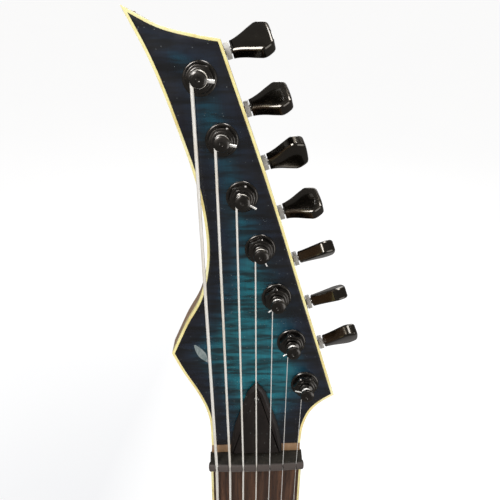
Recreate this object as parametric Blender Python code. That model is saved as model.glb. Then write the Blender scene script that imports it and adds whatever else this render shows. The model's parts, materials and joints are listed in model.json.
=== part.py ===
"""A seven-string electric guitar, hanging upright by its headstock.

Metres. +Z runs up the neck, -Y is the playing side and +X is the treble side. The origin is where the
fingerboard's playing surface meets the nut, on the centre line. The headstock leans back from the neck, and
its own frame has u across, v up the headstock and w out of its face.
"""

import math

import bmesh
import bpy
from mathutils import Matrix, Vector

MM = 0.001
GAP = 0.3 * MM
STRINGS = 7

# Playing length and fingerboard
SCALE = 648 * MM
FRETS = 24
FRET_WIDTH = 2.4 * MM
FRET_HEIGHT = 1.1 * MM
BOARD_THICK = 6 * MM
BOARD_END = 494 * MM
BOARD_RADIUS = 400 * MM
NUT_HALF = 24 * MM
BOARD_END_HALF = 32.8 * MM
NUT_SPREAD = 41.5 * MM
BRIDGE_SPREAD = 64.8 * MM
STRING_RADII = [r * MM for r in (0.74, 0.58, 0.45, 0.33, 0.22, 0.165, 0.127)]  # bass to treble

# Neck and headstock
HEAD_TILT = math.radians(12)
HEAD_ORIGIN = Vector((0, 6.07 * MM, 12.47 * MM))
HEAD_THICK = 15 * MM
VENEER_THICK = 2 * MM
NECK_TOP = BOARD_THICK + GAP
HEEL_END = 500 * MM
HEEL_DEPTH = 30 * MM
ROD_Y = 12.6 * MM
ROD_RADIUS = 2.6 * MM
ROD_NUT_RADIUS = 3.0 * MM
ROD_NUT_Z = (15 * MM, 27 * MM)

# Tuning machines, in a frame at each post: x to the button, y up the row, z out of the headstock's face
POST_ROW_START = (-22.6 * MM, 182.4 * MM)
POST_STEP = (7.8 * MM, -24.1 * MM)
POST_ROW_SAG = 0.8 * MM
POST_RADIUS = 3.0 * MM
POST_TOP = 11.2 * MM
POST_HOLE = 5.1 * MM
WASHER_RADIUS = 6.9 * MM
SHAFT_OFFSET = 6.4 * MM
SHAFT_DEPTH = 21.8 * MM
SHAFT_RADIUS = 1.6 * MM
WORM_TEETH = 14
GEAR_MODULE = 0.6 * MM
BUTTON_START = 15.2 * MM
BUTTON_SPINS = [math.radians(a) for a in (-46, -53, 36, -60, 60, 68, 43)]

# Body
BODY_FRONT = 8 * MM
TOP_THICK = 7 * MM
BODY_BACK = 52 * MM
BACK_ROUND = 5 * MM
FRONT_ROUND = 1.5 * MM
CAVITY_LEDGE = 5 * MM
COVER_THICK = 1.8 * MM

# Bridge and pickups
PLATE_HALF = 41 * MM
PLATE_THICK = 2.5 * MM
PLATE_Z = (-676 * MM, -640 * MM)
LIP_THICK = 4 * MM
STRING_AT_NUT = -1.75 * MM
STRING_AT_BRIDGE = -4.9 * MM
SADDLE_WIDTH = 10.2 * MM
COMPENSATION = [c * MM for c in (4.0, 3.4, 2.8, 2.2, 2.4, 1.7, 1.0)]
PICKUP_SIZE = (84 * MM, 35.6 * MM)
PICKUP_Y = (0.3 * MM, 17 * MM)
PICKUP_RING = (98 * MM, 46 * MM)
NECK_PICKUP_Z = -524 * MM
BRIDGE_PICKUP_Z = -614 * MM

# Controls and fittings
VOLUME_AT = (78 * MM, -676 * MM)
TONE_AT = (112 * MM, -704 * MM)
SWITCH_AT = (112 * MM, -657 * MM)
JACK_AT = Vector((157.6 * MM, 33 * MM, -724 * MM))
STRAP_Y = 30 * MM

SEGMENTS = 16
MATERIALS = {
    "stained_maple": ((0.01, 0.13, 0.18), 0.12, 0.0),
    "body_wood": ((0.10, 0.035, 0.015), 0.3, 0.0),
    "neck_wood": ((0.42, 0.26, 0.13), 0.35, 0.0),
    "rosewood": ((0.08, 0.03, 0.015), 0.5, 0.0),
    "nut_black": ((0.03, 0.027, 0.025), 0.35, 0.0),
    "black_metal": ((0.02, 0.02, 0.02), 0.18, 1.0),
    "black_plastic": ((0.015, 0.015, 0.015), 0.35, 0.0),
    "steel": ((0.62, 0.6, 0.57), 0.25, 1.0),
}


def clear_scene():
    for obj in list(bpy.data.objects):
        bpy.data.objects.remove(obj)


def make_materials():
    for name, (colour, roughness, metallic) in MATERIALS.items():
        shader = bpy.data.materials.new(name)
        shader.use_nodes = True
        principled = shader.node_tree.nodes["Principled BSDF"]
        principled.inputs["Base Color"].default_value = (*colour, 1)
        principled.inputs["Roughness"].default_value = roughness
        principled.inputs["Metallic"].default_value = metallic


# ---------------------------------------------------------------- frames


def frame_of(x_axis, y_axis, z_axis, origin):
    """A placement whose columns are three directions and an origin."""
    turn = Matrix((x_axis, y_axis, z_axis)).transposed().to_4x4()
    return Matrix.Translation(origin) @ turn


def along(direction, origin):
    """A placement whose Z points along a direction."""
    return Matrix.Translation(origin) @ Vector(direction).to_track_quat("Z", "Y").to_matrix().to_4x4()


HEAD = frame_of(
    (1, 0, 0),
    (0, math.sin(HEAD_TILT), math.cos(HEAD_TILT)),
    (0, -math.cos(HEAD_TILT), math.sin(HEAD_TILT)),
    HEAD_ORIGIN,
)
# Front-view drawings use x across and y up: this stands them up, with their depth running forward to -Y.
FRONT = frame_of((1, 0, 0), (0, 0, 1), (0, -1, 0), (0, 0, 0))


def post_frame(index):
    """The frame of a tuning machine: 0 is nearest the headstock's tip and holds the thickest string."""
    step = Vector(POST_STEP)
    up = -step.normalized()
    out = Vector((up.y, -up.x))
    share = index / (STRINGS - 1)
    centre = Vector(POST_ROW_START) + index * step + out * POST_ROW_SAG * 4 * share * (1 - share)
    place = frame_of((out.x, out.y, 0), (up.x, up.y, 0), (0, 0, 1), (centre.x, centre.y, 0))
    return HEAD @ place


# ---------------------------------------------------------------- outlines


def smooth(points, steps):
    """A Catmull-Rom curve through points, from the first to the last, without the last point."""
    pts = [Vector(p) for p in points]
    pts = [2 * pts[0] - pts[1]] + pts + [2 * pts[-1] - pts[-2]]
    curve = []
    for a, b, c, d in zip(pts, pts[1:], pts[2:], pts[3:]):
        for k in range(steps):
            t = k / steps
            square = (2 * a - 5 * b + 4 * c - d) * t * t
            cube = (3 * b - a - 3 * c + d) * t**3
            curve.append(0.5 * (2 * b + (c - a) * t + square + cube))
    return curve


def inset(outline, distance):
    """A counter-clockwise outline moved inwards along its corners' normals."""
    moved = []
    for i, point in enumerate(outline):
        before = (point - outline[i - 1]).normalized()
        after = (outline[(i + 1) % len(outline)] - point).normalized()
        along_edge = (before + after).normalized()
        moved.append(point + Vector((-along_edge.y, along_edge.x)) * distance)
    return moved


def box_outline(x0, x1, y0, y1):
    return [Vector(p) for p in ((x0, y0), (x1, y0), (x1, y1), (x0, y1))]


def rounded_box(half_x, half_y, radius, steps=3):
    """A counter-clockwise rectangle about the origin with round corners."""
    points = []
    for corner, (sx, sy) in enumerate(((1, 1), (-1, 1), (-1, -1), (1, -1))):
        for k in range(steps + 1):
            angle = math.pi / 2 * (corner + k / steps)
            points.append(
                Vector((sx * (half_x - radius), sy * (half_y - radius)))
                + radius * Vector((math.cos(angle), math.sin(angle)))
            )
    return points


def circle(radius, segments=SEGMENTS, turn=0.0):
    angles = [turn + 2 * math.pi * k / segments for k in range(segments)]
    return [Vector((radius * math.cos(a), radius * math.sin(a))) for a in angles]


def head_outline(bottom_v, bottom_half, steps=3):
    """The headstock's outline in u and v, counter-clockwise from its foot on the treble side."""
    tip = (-51.4, 208.7)
    top_corner = (-14.2, 196.9)
    low_corner = (39.4, 30.4)
    horn = (-40.8, 56.6)
    bass_edge = (tip, (-41.3, 187.8), (-32.4, 162.6), (-24.8, 136), (-22.1, 110), (-25.6, 88))
    bass_edge += ((-33.5, 72.6), horn)
    runs = (
        (((bottom_half, bottom_v), (23.4, 1.5), (24.3, 10.5), (27.2, 19.2), (32, 25.3), low_corner), steps),
        ((low_corner, (22.8, 84), (5.7, 139), top_corner), steps),
        ((top_corner, (-22.5, 198.2), (-37.1, 201.7), tip), steps),
        (bass_edge, steps),
        ((horn, (-36, 46), (-28, 30.5), (-23.9, 17), (-23.3, 1.5), (-bottom_half, bottom_v)), steps),
    )
    outline = [point for chain, count in runs for point in smooth(chain, count)]
    outline.append(Vector((-bottom_half, bottom_v)))
    return [point * MM for point in outline]


def body_outline(with_heel, steps=2):
    """The body's outline in x and z, counter-clockwise from the neck's treble side."""
    treble_corner = (34.5, -484)
    bass_corner = (-34.5, -452)
    curve = [
        bass_corner,
        (-46, -446),
        (-60, -427),
        (-73, -400),
        (-87, -371),
        (-103, -357),
        (-116, -368),
        (-128, -400),
        (-135, -442),
        (-130, -492),
        (-114, -543),
        (-113, -595),
        (-133, -650),
        (-156, -705),
        (-160, -755),
        (-138, -797),
        (-92, -817),
        (-40, -823),
        (0, -823.5),
        (50, -821),
        (108, -806),
        (149, -768),
        (158, -716),
        (145, -660),
        (118, -603),
        (107, -553),
        (118, -505),
        (131, -462),
        (131, -426),
        (117, -408),
        (99, -416),
        (80, -443),
        (60, -472),
        treble_corner,
    ]
    outline = smooth(curve, steps) + [Vector(treble_corner)]
    if with_heel:
        outline += [Vector(p) for p in ((30, -483), (30, -432), (-30, -432), (-30, -451.5))]
    return [point * MM for point in outline]


def control_outline(spread):
    """The back control cavity in x and z, grown by spread."""
    corners = (
        (56, -662),
        (66, -646),
        (96, -638),
        (122, -644),
        (132, -672),
        (133, -704),
        (122, -724),
        (92, -729),
        (64, -702),
    )
    closed = corners + corners[:1]
    return inset([point * MM for point in reversed(smooth(closed, 2))], -spread)


# ---------------------------------------------------------------- solids


def skin(rings, closed=False):
    """A solid from equal rings of points: each is joined to the next, and the ends are capped or joined."""
    bm = bmesh.new()
    rows = [[bm.verts.new(p) for p in ring] for ring in rings]
    pairs = list(zip(rows, rows[1:])) + ([(rows[-1], rows[0])] if closed else [])
    for low, high in pairs:
        for i in range(len(low)):
            j = (i + 1) % len(low)
            bm.faces.new((low[i], low[j], high[j], high[i]))
    if not closed:
        bm.faces.new(list(reversed(rows[0])))
        bm.faces.new(rows[-1])
    bmesh.ops.recalc_face_normals(bm, faces=bm.faces)
    return bm


def prism(layers):
    """A solid from (outline, height) layers."""
    return skin([[(p[0], p[1], height) for p in outline] for outline, height in layers])


def turned(profile, segments=SEGMENTS, closed=False):
    """A solid turned about Z from (radius, height) points. A closed profile makes a ring with a bore."""
    rings = []
    for radius, height in profile:
        rings.append([(p.x, p.y, height) for p in circle(radius, segments)])
    return skin(rings, closed)


def put(name, bm, slot, frame=None, shade=False):
    mesh = bpy.data.meshes.new(name)
    bm.to_mesh(mesh)
    bm.free()
    return put_mesh(name, mesh, slot, frame, shade)


def put_mesh(name, mesh, slot, frame=None, shade=False):
    obj = bpy.data.objects.new(name, mesh)
    bpy.context.scene.collection.objects.link(obj)
    if slot and not mesh.materials:
        mesh.materials.append(bpy.data.materials[slot])
    if shade:
        mesh.shade_smooth()
        mesh.set_sharp_from_angle(angle=math.radians(35))
    if frame is not None:
        obj.matrix_world = frame
    return obj


def helper(name, bm, frame=None):
    """A cutter or a shape to join: it isn't part of the object."""
    obj = put(name, bm, None, frame)
    obj.hide_render = True
    obj.display_type = "WIRE"
    return obj


def combine(obj, other, operation):
    modifier = obj.modifiers.new(other.name, "BOOLEAN")
    modifier.operation = operation
    modifier.solver = "EXACT"
    modifier.object = other


def cut(obj, *cutters):
    for cutter in cutters:
        combine(obj, cutter, "DIFFERENCE")


def finished_mesh(obj):
    """The object's mesh with its modifiers applied, for copies to share. The object itself is removed."""
    bpy.context.view_layer.update()
    mesh = bpy.data.meshes.new_from_object(obj.evaluated_get(bpy.context.evaluated_depsgraph_get()))
    for modifier in list(obj.modifiers):
        bpy.data.objects.remove(modifier.object)
    bpy.data.objects.remove(obj)
    return mesh


def pin_cutter(name, radius, low, high, frame, segments=SEGMENTS):
    return helper(name, prism([(circle(radius, segments), low), (circle(radius, segments), high)]), frame)


# ---------------------------------------------------------------- neck, headstock, fingerboard


def half_width(z):
    """Half the fingerboard's width at a height z, which is negative below the nut."""
    return NUT_HALF + (BOARD_END_HALF - NUT_HALF) * max(0, -z) / BOARD_END


def neck_section(z, depth, squareness, points=10):
    """A closed section of the neck below the fingerboard: flat in front, round behind."""
    half = half_width(z)
    section = []
    for k in range(points + 1):
        angle = math.pi * k / points
        across = math.copysign(abs(math.cos(angle)) ** squareness, math.cos(angle))
        section.append((half * across, NECK_TOP + (depth - NECK_TOP) * math.sin(angle) ** squareness, z))
    return section


def rod_channel():
    """The slot for the truss rod, open to the fingerboard and to the headstock's face."""
    outline = box_outline(-3.4 * MM, 3.4 * MM, -470 * MM, 36 * MM)
    return helper("rod_channel", prism([(outline, -15.8 * MM), (outline, -4.5 * MM)]), FRONT)


def build_neck(channel, post_holes):
    stations = (
        (7.3, 20.6, 0.8),
        (0, 20.4, 0.8),
        (-60, 20.6, 0.8),
        (-160, 21.3, 0.8),
        (-280, 22.2, 0.8),
        (-395, 23.2, 0.8),
        (-422, 25.4, 0.55),
        (-442, 29.6, 0.25),
        (-455, 30, 0.1),
        (-500, 30, 0.1),
    )
    sections = [neck_section(z * MM, depth * MM, power) for z, depth, power in stations]
    neck = put("neck", skin(sections), "neck_wood")
    outline = head_outline(-9.5, 23.6)
    face = -VENEER_THICK - GAP
    layers = [(inset(outline, 1.5 * MM), -HEAD_THICK), (outline, 2 * MM - HEAD_THICK), (outline, face)]
    blank = helper("head_blank", prism(layers), HEAD)
    combine(neck, blank, "UNION")
    cut(neck, channel, *post_holes)


def build_headstock_veneer(channel, post_holes):
    outline = head_outline(-4.5, 23.6)
    veneer = put("headstock_veneer", prism([(outline, -VENEER_THICK), (outline, 0)]), "stained_maple", HEAD)
    cut(veneer, channel, *post_holes)


def build_fingerboard():
    """A tapered board with a crowned top, with its frets standing on it."""
    columns = 4
    stations = [(0.0, 0.0)]
    for fret in range(1, FRETS + 1):
        middle = SCALE * (1 - 2 ** (-fret / 12))
        for offset, rise in ((-0.5, 0), (-0.25, 1), (0.25, 1), (0.5, 0)):
            stations.append((middle + offset * FRET_WIDTH, rise * FRET_HEIGHT))
    stations.append((BOARD_END, 0.0))
    rings = []
    for distance, rise in stations:
        half = half_width(-distance)
        top = []
        for k in range(columns + 1):
            x = half * (2 * k / columns - 1)
            top.append((x, x * x / (2 * BOARD_RADIUS) - rise, -distance))
        rings.append(top + [(half, BOARD_THICK, -distance), (-half, BOARD_THICK, -distance)])
    put("fingerboard", skin(rings), "rosewood")


def string_x(index, z):
    """How far across a string lies at a height z between the bridge and the nut."""
    share = index / (STRINGS - 1) - 0.5
    return share * (NUT_SPREAD + (BRIDGE_SPREAD - NUT_SPREAD) * -z / SCALE)


def build_nut():
    """A black nut: a round crest over the fingerboard's end, sloping down to the headstock."""
    side = ((0.3, 6), (7.3, 6), (7.3, 5), (5.5, -1.7), (4.5, -2.5), (2.9, -2.8), (1.3, -2.6), (0.3, -1.8))
    columns = 4
    rings = []
    for k in range(columns + 1):
        x = 24.3 * MM * (2 * k / columns - 1)
        crown = x * x / (2 * BOARD_RADIUS)
        rings.append([(x, y * MM + (crown if y < 0 else 0), z * MM) for z, y in side])
    nut = put("nut", skin(rings), "nut_black")
    for index, radius in enumerate(STRING_RADII):
        x = string_x(index, 0)
        floor = string_height(x, 0) + radius + GAP
        slot = ((-1, floor), (3.6, floor), (12, floor + 2.2 * MM), (12, -6 * MM), (-1, -6 * MM))
        walls = [[(across, y, z * MM) for z, y in slot] for across in (x - radius - GAP, x + radius + GAP)]
        cut(nut, helper(f"nut_slot_{index + 1}", skin(walls)))


def build_truss_rod():
    """The rod in its channel, the nut that tightens it, and the cover over that nut."""
    frame = Matrix.Translation((0, ROD_Y, 0))
    rod = [(ROD_RADIUS, -468 * MM), (ROD_RADIUS, ROD_NUT_Z[0] - GAP)]
    put("truss_rod", turned(rod, 12), "steel", frame, shade=True)
    socket = 1.7 * MM
    low, high = ROD_NUT_Z
    nut = [(0.4 * MM, low), (ROD_NUT_RADIUS, low), (ROD_NUT_RADIUS, high), (socket, high)]
    nut += [(socket, high - 6 * MM), (0.4 * MM, high - 6 * MM)]
    put("truss_rod_nut", turned(nut, 12, closed=True), "steel", frame, shade=True)
    half = smooth(((13.6, -4.4), (13.4, 0), (12.8, 5), (10.6, 15), (7.2, 25), (4.6, 33.5), (0, 39.8)), 3)
    tip = Vector((0, 39.8 * MM))
    outline = [p * MM for p in half] + [tip] + [Vector((-p.x, p.y)) * MM for p in reversed(half)]
    bottom = GAP
    layers = [(outline, bottom), (outline, bottom + 1.2 * MM), (inset(outline, 1.3 * MM), bottom + 2.3 * MM)]
    put("truss_rod_cover", prism(layers), "black_plastic", HEAD)


# ---------------------------------------------------------------- tuning machines


def tuner_housing_mesh():
    """The gear case behind the headstock, joined to the bush, washer and hex that clamp it from the front."""
    back = -HEAD_THICK - GAP
    case_low = back - 13 * MM
    case = [p + Vector((0.2 * MM, 1.6 * MM)) for p in rounded_box(7.6 * MM, 9 * MM, 2.4 * MM, 1)]
    housing = put("case", prism([(case, case_low), (case, back)]), "black_metal")
    bush = [
        (4.7 * MM, back - 1 * MM),
        (4.7 * MM, GAP),
        (WASHER_RADIUS, GAP),
        (WASHER_RADIUS, 1.2 * MM),
        (5.2 * MM, 1.2 * MM),
        (5.2 * MM, 4.4 * MM),
        (4.2 * MM, 5.2 * MM),
    ]
    combine(housing, helper("bush", turned(bush, 12)), "UNION")
    snout_frame = along((1, 0, 0), (0, SHAFT_OFFSET, -SHAFT_DEPTH))
    combine(housing, pin_cutter("snout", 3.4 * MM, 4 * MM, 12.6 * MM, snout_frame, 12), "UNION")
    cut(
        housing,
        pin_cutter("post_bore", POST_RADIUS + GAP, -SHAFT_DEPTH, 8 * MM, None, 12),
        pin_cutter("gear_room", 5.2 * MM, -SHAFT_DEPTH - 2.6 * MM, -SHAFT_DEPTH + 2.6 * MM, None, 12),
        pin_cutter("worm_room", 3.1 * MM, -5.2 * MM, 5.2 * MM, snout_frame, 12),
        pin_cutter("shaft_bore", SHAFT_RADIUS + GAP, 0, 14 * MM, snout_frame, 12),
    )
    return finished_mesh(housing)


def tuner_post_mesh():
    """The string post with the worm wheel on its foot. One of the wheel's teeth points up the row."""
    foot = -SHAFT_DEPTH - 1.6 * MM
    chamfer = 0.5 * MM
    profile = [
        (POST_RADIUS, foot + 0.4 * MM),
        (POST_RADIUS, POST_TOP - chamfer),
        (POST_RADIUS - chamfer, POST_TOP),
    ]
    post = put("post", turned(profile, 12), "black_metal")
    pitch_radius = WORM_TEETH * GEAR_MODULE / 2
    teeth = []
    for tooth in range(WORM_TEETH):
        middle = math.pi / 2 + 2 * math.pi * tooth / WORM_TEETH
        for radius, width in ((-0.75, -0.95), (0.5, -0.32), (0.5, 0.32), (-0.75, 0.95)):
            r = pitch_radius + radius * MM
            angle = middle + 0.5 * width * MM / r
            teeth.append(Vector((r * math.cos(angle), r * math.sin(angle))))
    wheel = helper("worm_wheel", prism([(teeth, foot), (teeth, -SHAFT_DEPTH + 1.6 * MM)]))
    combine(post, wheel, "UNION")
    return finished_mesh(post)


def worm_thread():
    """A right-handed ridge round the shaft, with a gap between its turns at the wheel's side."""
    lead = math.pi * GEAR_MODULE
    per_turn = 8
    turns = 3
    sections = []
    for k in range(per_turn * turns + 1):
        angle = 2 * math.pi * k / per_turn
        middle = lead * (k / per_turn - turns / 2)
        ring = []
        for radius, width in ((1.3, -0.6), (2.62, -0.22), (2.62, 0.22), (1.3, 0.6)):
            # The ridge faces the wheel, at local -y, half a lead from the wheel's middle tooth.
            ring.append((radius * MM * math.sin(angle), -radius * MM * math.cos(angle), middle + width * MM))
        sections.append([(z, y, x) for x, y, z in ring])
    return skin(sections)


def tuner_button_mesh():
    """The worm, its shaft and the button that turns it, along X with the shaft's axis through the origin."""
    shaft_frame = along((1, 0, 0), (0, 0, 0))
    profile = [(SHAFT_RADIUS, -4.6 * MM), (SHAFT_RADIUS, BUTTON_START + 4 * MM)]
    shaft = put("shaft", turned(profile, 8), "black_metal", shaft_frame)
    combine(shaft, helper("worm_thread", worm_thread()), "UNION")
    sections = (
        # distance, half the width, half the thickness
        (12.9, 3.1, 3.1),
        (15.2, 3.5, 2.8),
        (22.5, 6.0, 3.1),
        (28.0, 8.6, 3.3),
        (31.5, 7.8, 3.3),
        (33.6, 5.6, 2.6),
    )
    rings = []
    for distance, wide, thick in sections:
        ring = []
        for k in range(8):
            angle = math.pi / 8 + math.pi * k / 4
            y = math.copysign(abs(math.cos(angle)) ** 0.5, math.cos(angle))
            z = math.copysign(abs(math.sin(angle)) ** 0.5, math.sin(angle))
            ring.append((distance * MM, y * wide * MM, z * thick * MM))
        rings.append(ring)
    combine(shaft, helper("button_grip", skin(rings)), "UNION")
    mesh = finished_mesh(shaft)
    mesh.transform(shaft_frame)
    return mesh


def build_tuners():
    housing, post, button = tuner_housing_mesh(), tuner_post_mesh(), tuner_button_mesh()
    for index in range(STRINGS):
        name = index + 1
        frame = post_frame(index)
        spin = BUTTON_SPINS[index]
        put_mesh(f"tuner_housing_{name}", housing, "black_metal", frame, shade=True)
        settled = frame @ Matrix.Rotation(-spin / WORM_TEETH, 4, "Z")
        put_mesh(f"tuner_post_{name}", post, "black_metal", settled, shade=True)
        shaft = Matrix.Translation((0, SHAFT_OFFSET, -SHAFT_DEPTH)) @ Matrix.Rotation(spin, 4, "X")
        put_mesh(f"tuner_button_{name}", button, "black_metal", frame @ shaft, shade=True)


# ---------------------------------------------------------------- strings


def string_height(x, z):
    """A string's y between the nut and the bridge, following the fingerboard's crown."""
    return STRING_AT_NUT + (STRING_AT_BRIDGE - STRING_AT_NUT) * -z / SCALE + x * x / (2 * BOARD_RADIUS)


def string_route(index):
    """From the bridge's rear lip over its saddle and the nut to the side of its post."""
    radius = STRING_RADII[index]
    x = string_x(index, -SCALE)
    bend_z = -SCALE - COMPENSATION[index] - 3.6 * MM
    y = string_height(x, -SCALE)
    hole_y = lip_hole_y(x)
    route = [Vector((x, hole_y, PLATE_Z[0] - 3 * MM)), Vector((x, hole_y, PLATE_Z[0] + LIP_THICK + 1 * MM))]
    route.append(Vector((x, y, bend_z)))
    route.append(Vector((x, y, -SCALE + 2 * MM)))
    nut_x = string_x(index, 0)
    nut_y = string_height(nut_x, 0)
    route.append(Vector((nut_x, nut_y, 1.5 * MM)))
    route.append(Vector((nut_x, nut_y, 3.6 * MM)))
    post = post_frame(index)
    side = Vector((-(POST_RADIUS + radius + GAP), 0, 6.6 * MM))
    toward = post.inverted() @ route[-1]
    across = Matrix.Rotation(math.atan2(toward.y, toward.x) + math.pi / 2, 4, "Z")
    route.append(post @ (across @ side))
    return route


def tube(route, radius, sides=6):
    """A closed round bar along a route of straight runs."""
    rings = []
    angles = [2 * math.pi * k / sides for k in range(sides)]
    for i, point in enumerate(route):
        before = (point - route[max(i - 1, 0)]).normalized() if i else (route[1] - point).normalized()
        after = (route[min(i + 1, len(route) - 1)] - point).normalized() if i < len(route) - 1 else before
        heading = (before + after).normalized()
        across = heading.cross(Vector((0, 1, 0))).normalized()
        up = across.cross(heading)
        rings.append([point + radius * (across * math.cos(a) + up * math.sin(a)) for a in angles])
    return skin(rings)


def build_strings():
    for index, radius in enumerate(STRING_RADII):
        put(f"string_{index + 1}", tube(string_route(index), radius), "steel", shade=True)


# ---------------------------------------------------------------- body


def build_body(cutters):
    outline = body_outline(with_heel=True)
    body_front = BODY_FRONT + TOP_THICK + GAP
    layers = [
        (inset(outline, BACK_ROUND * 0.8), -BODY_BACK),
        (inset(outline, BACK_ROUND * 0.25), BACK_ROUND * 0.4 - BODY_BACK),
        (outline, BACK_ROUND - BODY_BACK),
        (outline, -body_front),
    ]
    body = put("body", prism(layers), "body_wood", FRONT)
    room = control_outline(0)
    ledge = control_outline(CAVITY_LEDGE)
    recess_front = COVER_THICK + GAP - BODY_BACK
    cut(
        body,
        *cutters,
        helper("control_room", prism([(room, -BODY_BACK - 1 * MM), (room, -body_front + 1 * MM)]), FRONT),
        helper("cover_recess", prism([(ledge, -BODY_BACK - 1 * MM), (ledge, recess_front)]), FRONT),
        pin_cutter("jack_recess", 11.4 * MM, -3 * MM, 12 * MM, along((1, 0, 0), JACK_AT)),
        pin_cutter("jack_hole", 8.4 * MM, -52 * MM, 0, along((1, 0, 0), JACK_AT)),
    )
    cover = control_outline(CAVITY_LEDGE - GAP)
    layers = [(cover, -BODY_BACK), (cover, COVER_THICK - BODY_BACK)]
    put("control_cover", prism(layers), "black_plastic", FRONT)


def build_top(cutters):
    outline = body_outline(with_heel=False)
    back = -BODY_FRONT - TOP_THICK
    crest = (inset(outline, FRONT_ROUND), -BODY_FRONT)
    layers = [(outline, back), (outline, -BODY_FRONT - FRONT_ROUND), crest]
    top = put("maple_top", prism(layers), "stained_maple", FRONT)
    holes = []
    for name, at in control_places():
        place = FRONT @ Matrix.Translation((*at, 0))
        holes.append(pin_cutter(f"{name}_hole", 5.1 * MM, back - 1 * MM, 0, place, 12))
    cut(top, *cutters, *holes)


def control_places():
    return (("volume", VOLUME_AT), ("tone", TONE_AT), ("switch", SWITCH_AT))


def neck_pocket():
    """Room for the neck's heel, open at the front and upwards."""
    spread = 0.35 * MM
    low, high = -HEEL_END - spread, -425 * MM
    outline = [Vector((-half_width(low) - spread, low)), Vector((half_width(low) + spread, low))]
    outline += [Vector((half_width(high) + spread, high)), Vector((-half_width(high) - spread, high))]
    return helper("neck_pocket", prism([(outline, -HEEL_DEPTH - GAP), (outline, 0)]), FRONT)


def pickup_room(name, z):
    half_x, half_z = PICKUP_SIZE[0] / 2 + 1.2 * MM, PICKUP_SIZE[1] / 2 + 1.2 * MM
    outline = [p + Vector((0, z)) for p in rounded_box(half_x, half_z, 3 * MM, 2)]
    return helper(f"{name}_room", prism([(outline, -24 * MM), (outline, 0)]), FRONT)


def build_neck_plate():
    outline = [p + Vector((0, -472 * MM)) for p in rounded_box(25.5 * MM, 32 * MM, 3 * MM, 2)]
    back = -BODY_BACK - GAP
    layers = [(inset(outline, 0.5 * MM), back - 1.8 * MM), (outline, back - 1.3 * MM), (outline, back)]
    put("neck_plate", prism(layers), "black_metal", FRONT)


# ---------------------------------------------------------------- bridge and pickups


def lip_hole_y(x):
    """The y of a string's hole through the bridge's rear lip."""
    return -1.6 * MM + x * x / (2 * BOARD_RADIUS)


def build_bridge():
    """A plate with a rear lip that anchors the strings, and a saddle under each string."""
    top = BODY_FRONT - GAP - PLATE_THICK
    low, high = PLATE_Z
    side = [(low, BODY_FRONT - GAP), (high, BODY_FRONT - GAP), (high, top)]
    side += [(low + LIP_THICK, top), (low + LIP_THICK, -3.4 * MM), (low, -3.4 * MM)]
    ends = [[(x, y, z) for z, y in side] for x in (-PLATE_HALF, PLATE_HALF)]
    plate = put("bridge_plate", skin(ends), "black_metal")
    for index, radius in enumerate(STRING_RADII):
        x = string_x(index, -SCALE)
        frame = Matrix.Translation((x, lip_hole_y(x), low - 1 * MM))
        hole = radius / math.cos(math.pi / 8) + GAP
        cut(plate, pin_cutter(f"lip_hole_{index + 1}", hole, 0, LIP_THICK + 2 * MM, frame, 8))
    for index, radius in enumerate(STRING_RADII):
        build_saddle(index, radius, top - GAP)


def build_saddle(index, radius, foot):
    """A block whose crest carries its string at the origin of its slide."""
    x = string_x(index, -SCALE)
    crest = string_height(x, -SCALE) + radius + GAP
    side = [(3, foot), (-11, foot), (-11, 2.4 * MM), (-3.2, crest + 0.9 * MM)]
    side += [(-1, crest), (1.2, crest), (3, crest + 1 * MM)]
    half = SADDLE_WIDTH / 2
    rings = [[(across, y, z * MM) for z, y in side] for across in (-half, half)]
    frame = Matrix.Translation((x, 0, -SCALE - COMPENSATION[index]))
    put(f"saddle_{index + 1}", skin(rings), "steel", frame)


def build_pickup(name, z):
    """A pickup in the mounting ring that holds it. It slides in and out on its height screws."""
    frame = FRONT @ Matrix.Translation((0, z, 0))
    outline = rounded_box(PICKUP_SIZE[0] / 2, PICKUP_SIZE[1] / 2, 2.5 * MM, 2)
    front, back = -PICKUP_Y[0], -PICKUP_Y[1]
    layers = [(outline, back), (outline, front - 0.8 * MM), (inset(outline, 0.8 * MM), front)]
    put(name, prism(layers), "black_plastic", frame)
    window = rounded_box(PICKUP_SIZE[0] / 2 + 0.7 * MM, PICKUP_SIZE[1] / 2 + 0.7 * MM, 3 * MM, 2)
    outer = rounded_box(PICKUP_RING[0] / 2, PICKUP_RING[1] / 2, 4 * MM, 2)
    foot, crown = -BODY_FRONT + GAP, -3.7 * MM
    shoulder = inset(outer, 1.2 * MM)
    layers = ((window, foot), (outer, foot), (outer, foot + 2.4 * MM), (shoulder, crown), (window, crown))
    rings = [[(p.x, p.y, height) for p in outline] for outline, height in layers]
    put(f"{name}_ring", skin(rings, closed=True), "black_plastic", frame)


# ---------------------------------------------------------------- controls and fittings


def build_control(name, at):
    """A knob with its shaft, and the pot that it turns, under the top."""
    frame = FRONT @ Matrix.Translation((*at, 0))
    shaft = 2.9 * MM
    knob_foot = -4.6 * MM
    knob = [(shaft, -21 * MM), (shaft, knob_foot), (9.2 * MM, knob_foot)]
    knob += [(8.8 * MM, 9 * MM), (7.8 * MM, 10 * MM)]
    put(f"{name}_knob", turned(knob, 20), "black_metal", frame, shade=True)
    under = -BODY_FRONT - TOP_THICK - GAP
    bore = shaft + GAP
    pot = [
        (bore, -22 * MM),
        (1 * MM, -22 * MM),
        (1 * MM, -27 * MM),
        (12 * MM, -27 * MM),
        (12 * MM, under),
        (4.7 * MM, under),
        (4.7 * MM, -BODY_FRONT + GAP),
        (7.4 * MM, -BODY_FRONT + GAP),
        (7.4 * MM, -5.4 * MM),
        (bore, -5.4 * MM),
    ]
    put(f"{name}_pot", turned(pot, closed=True), "steel", frame, shade=True)


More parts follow.
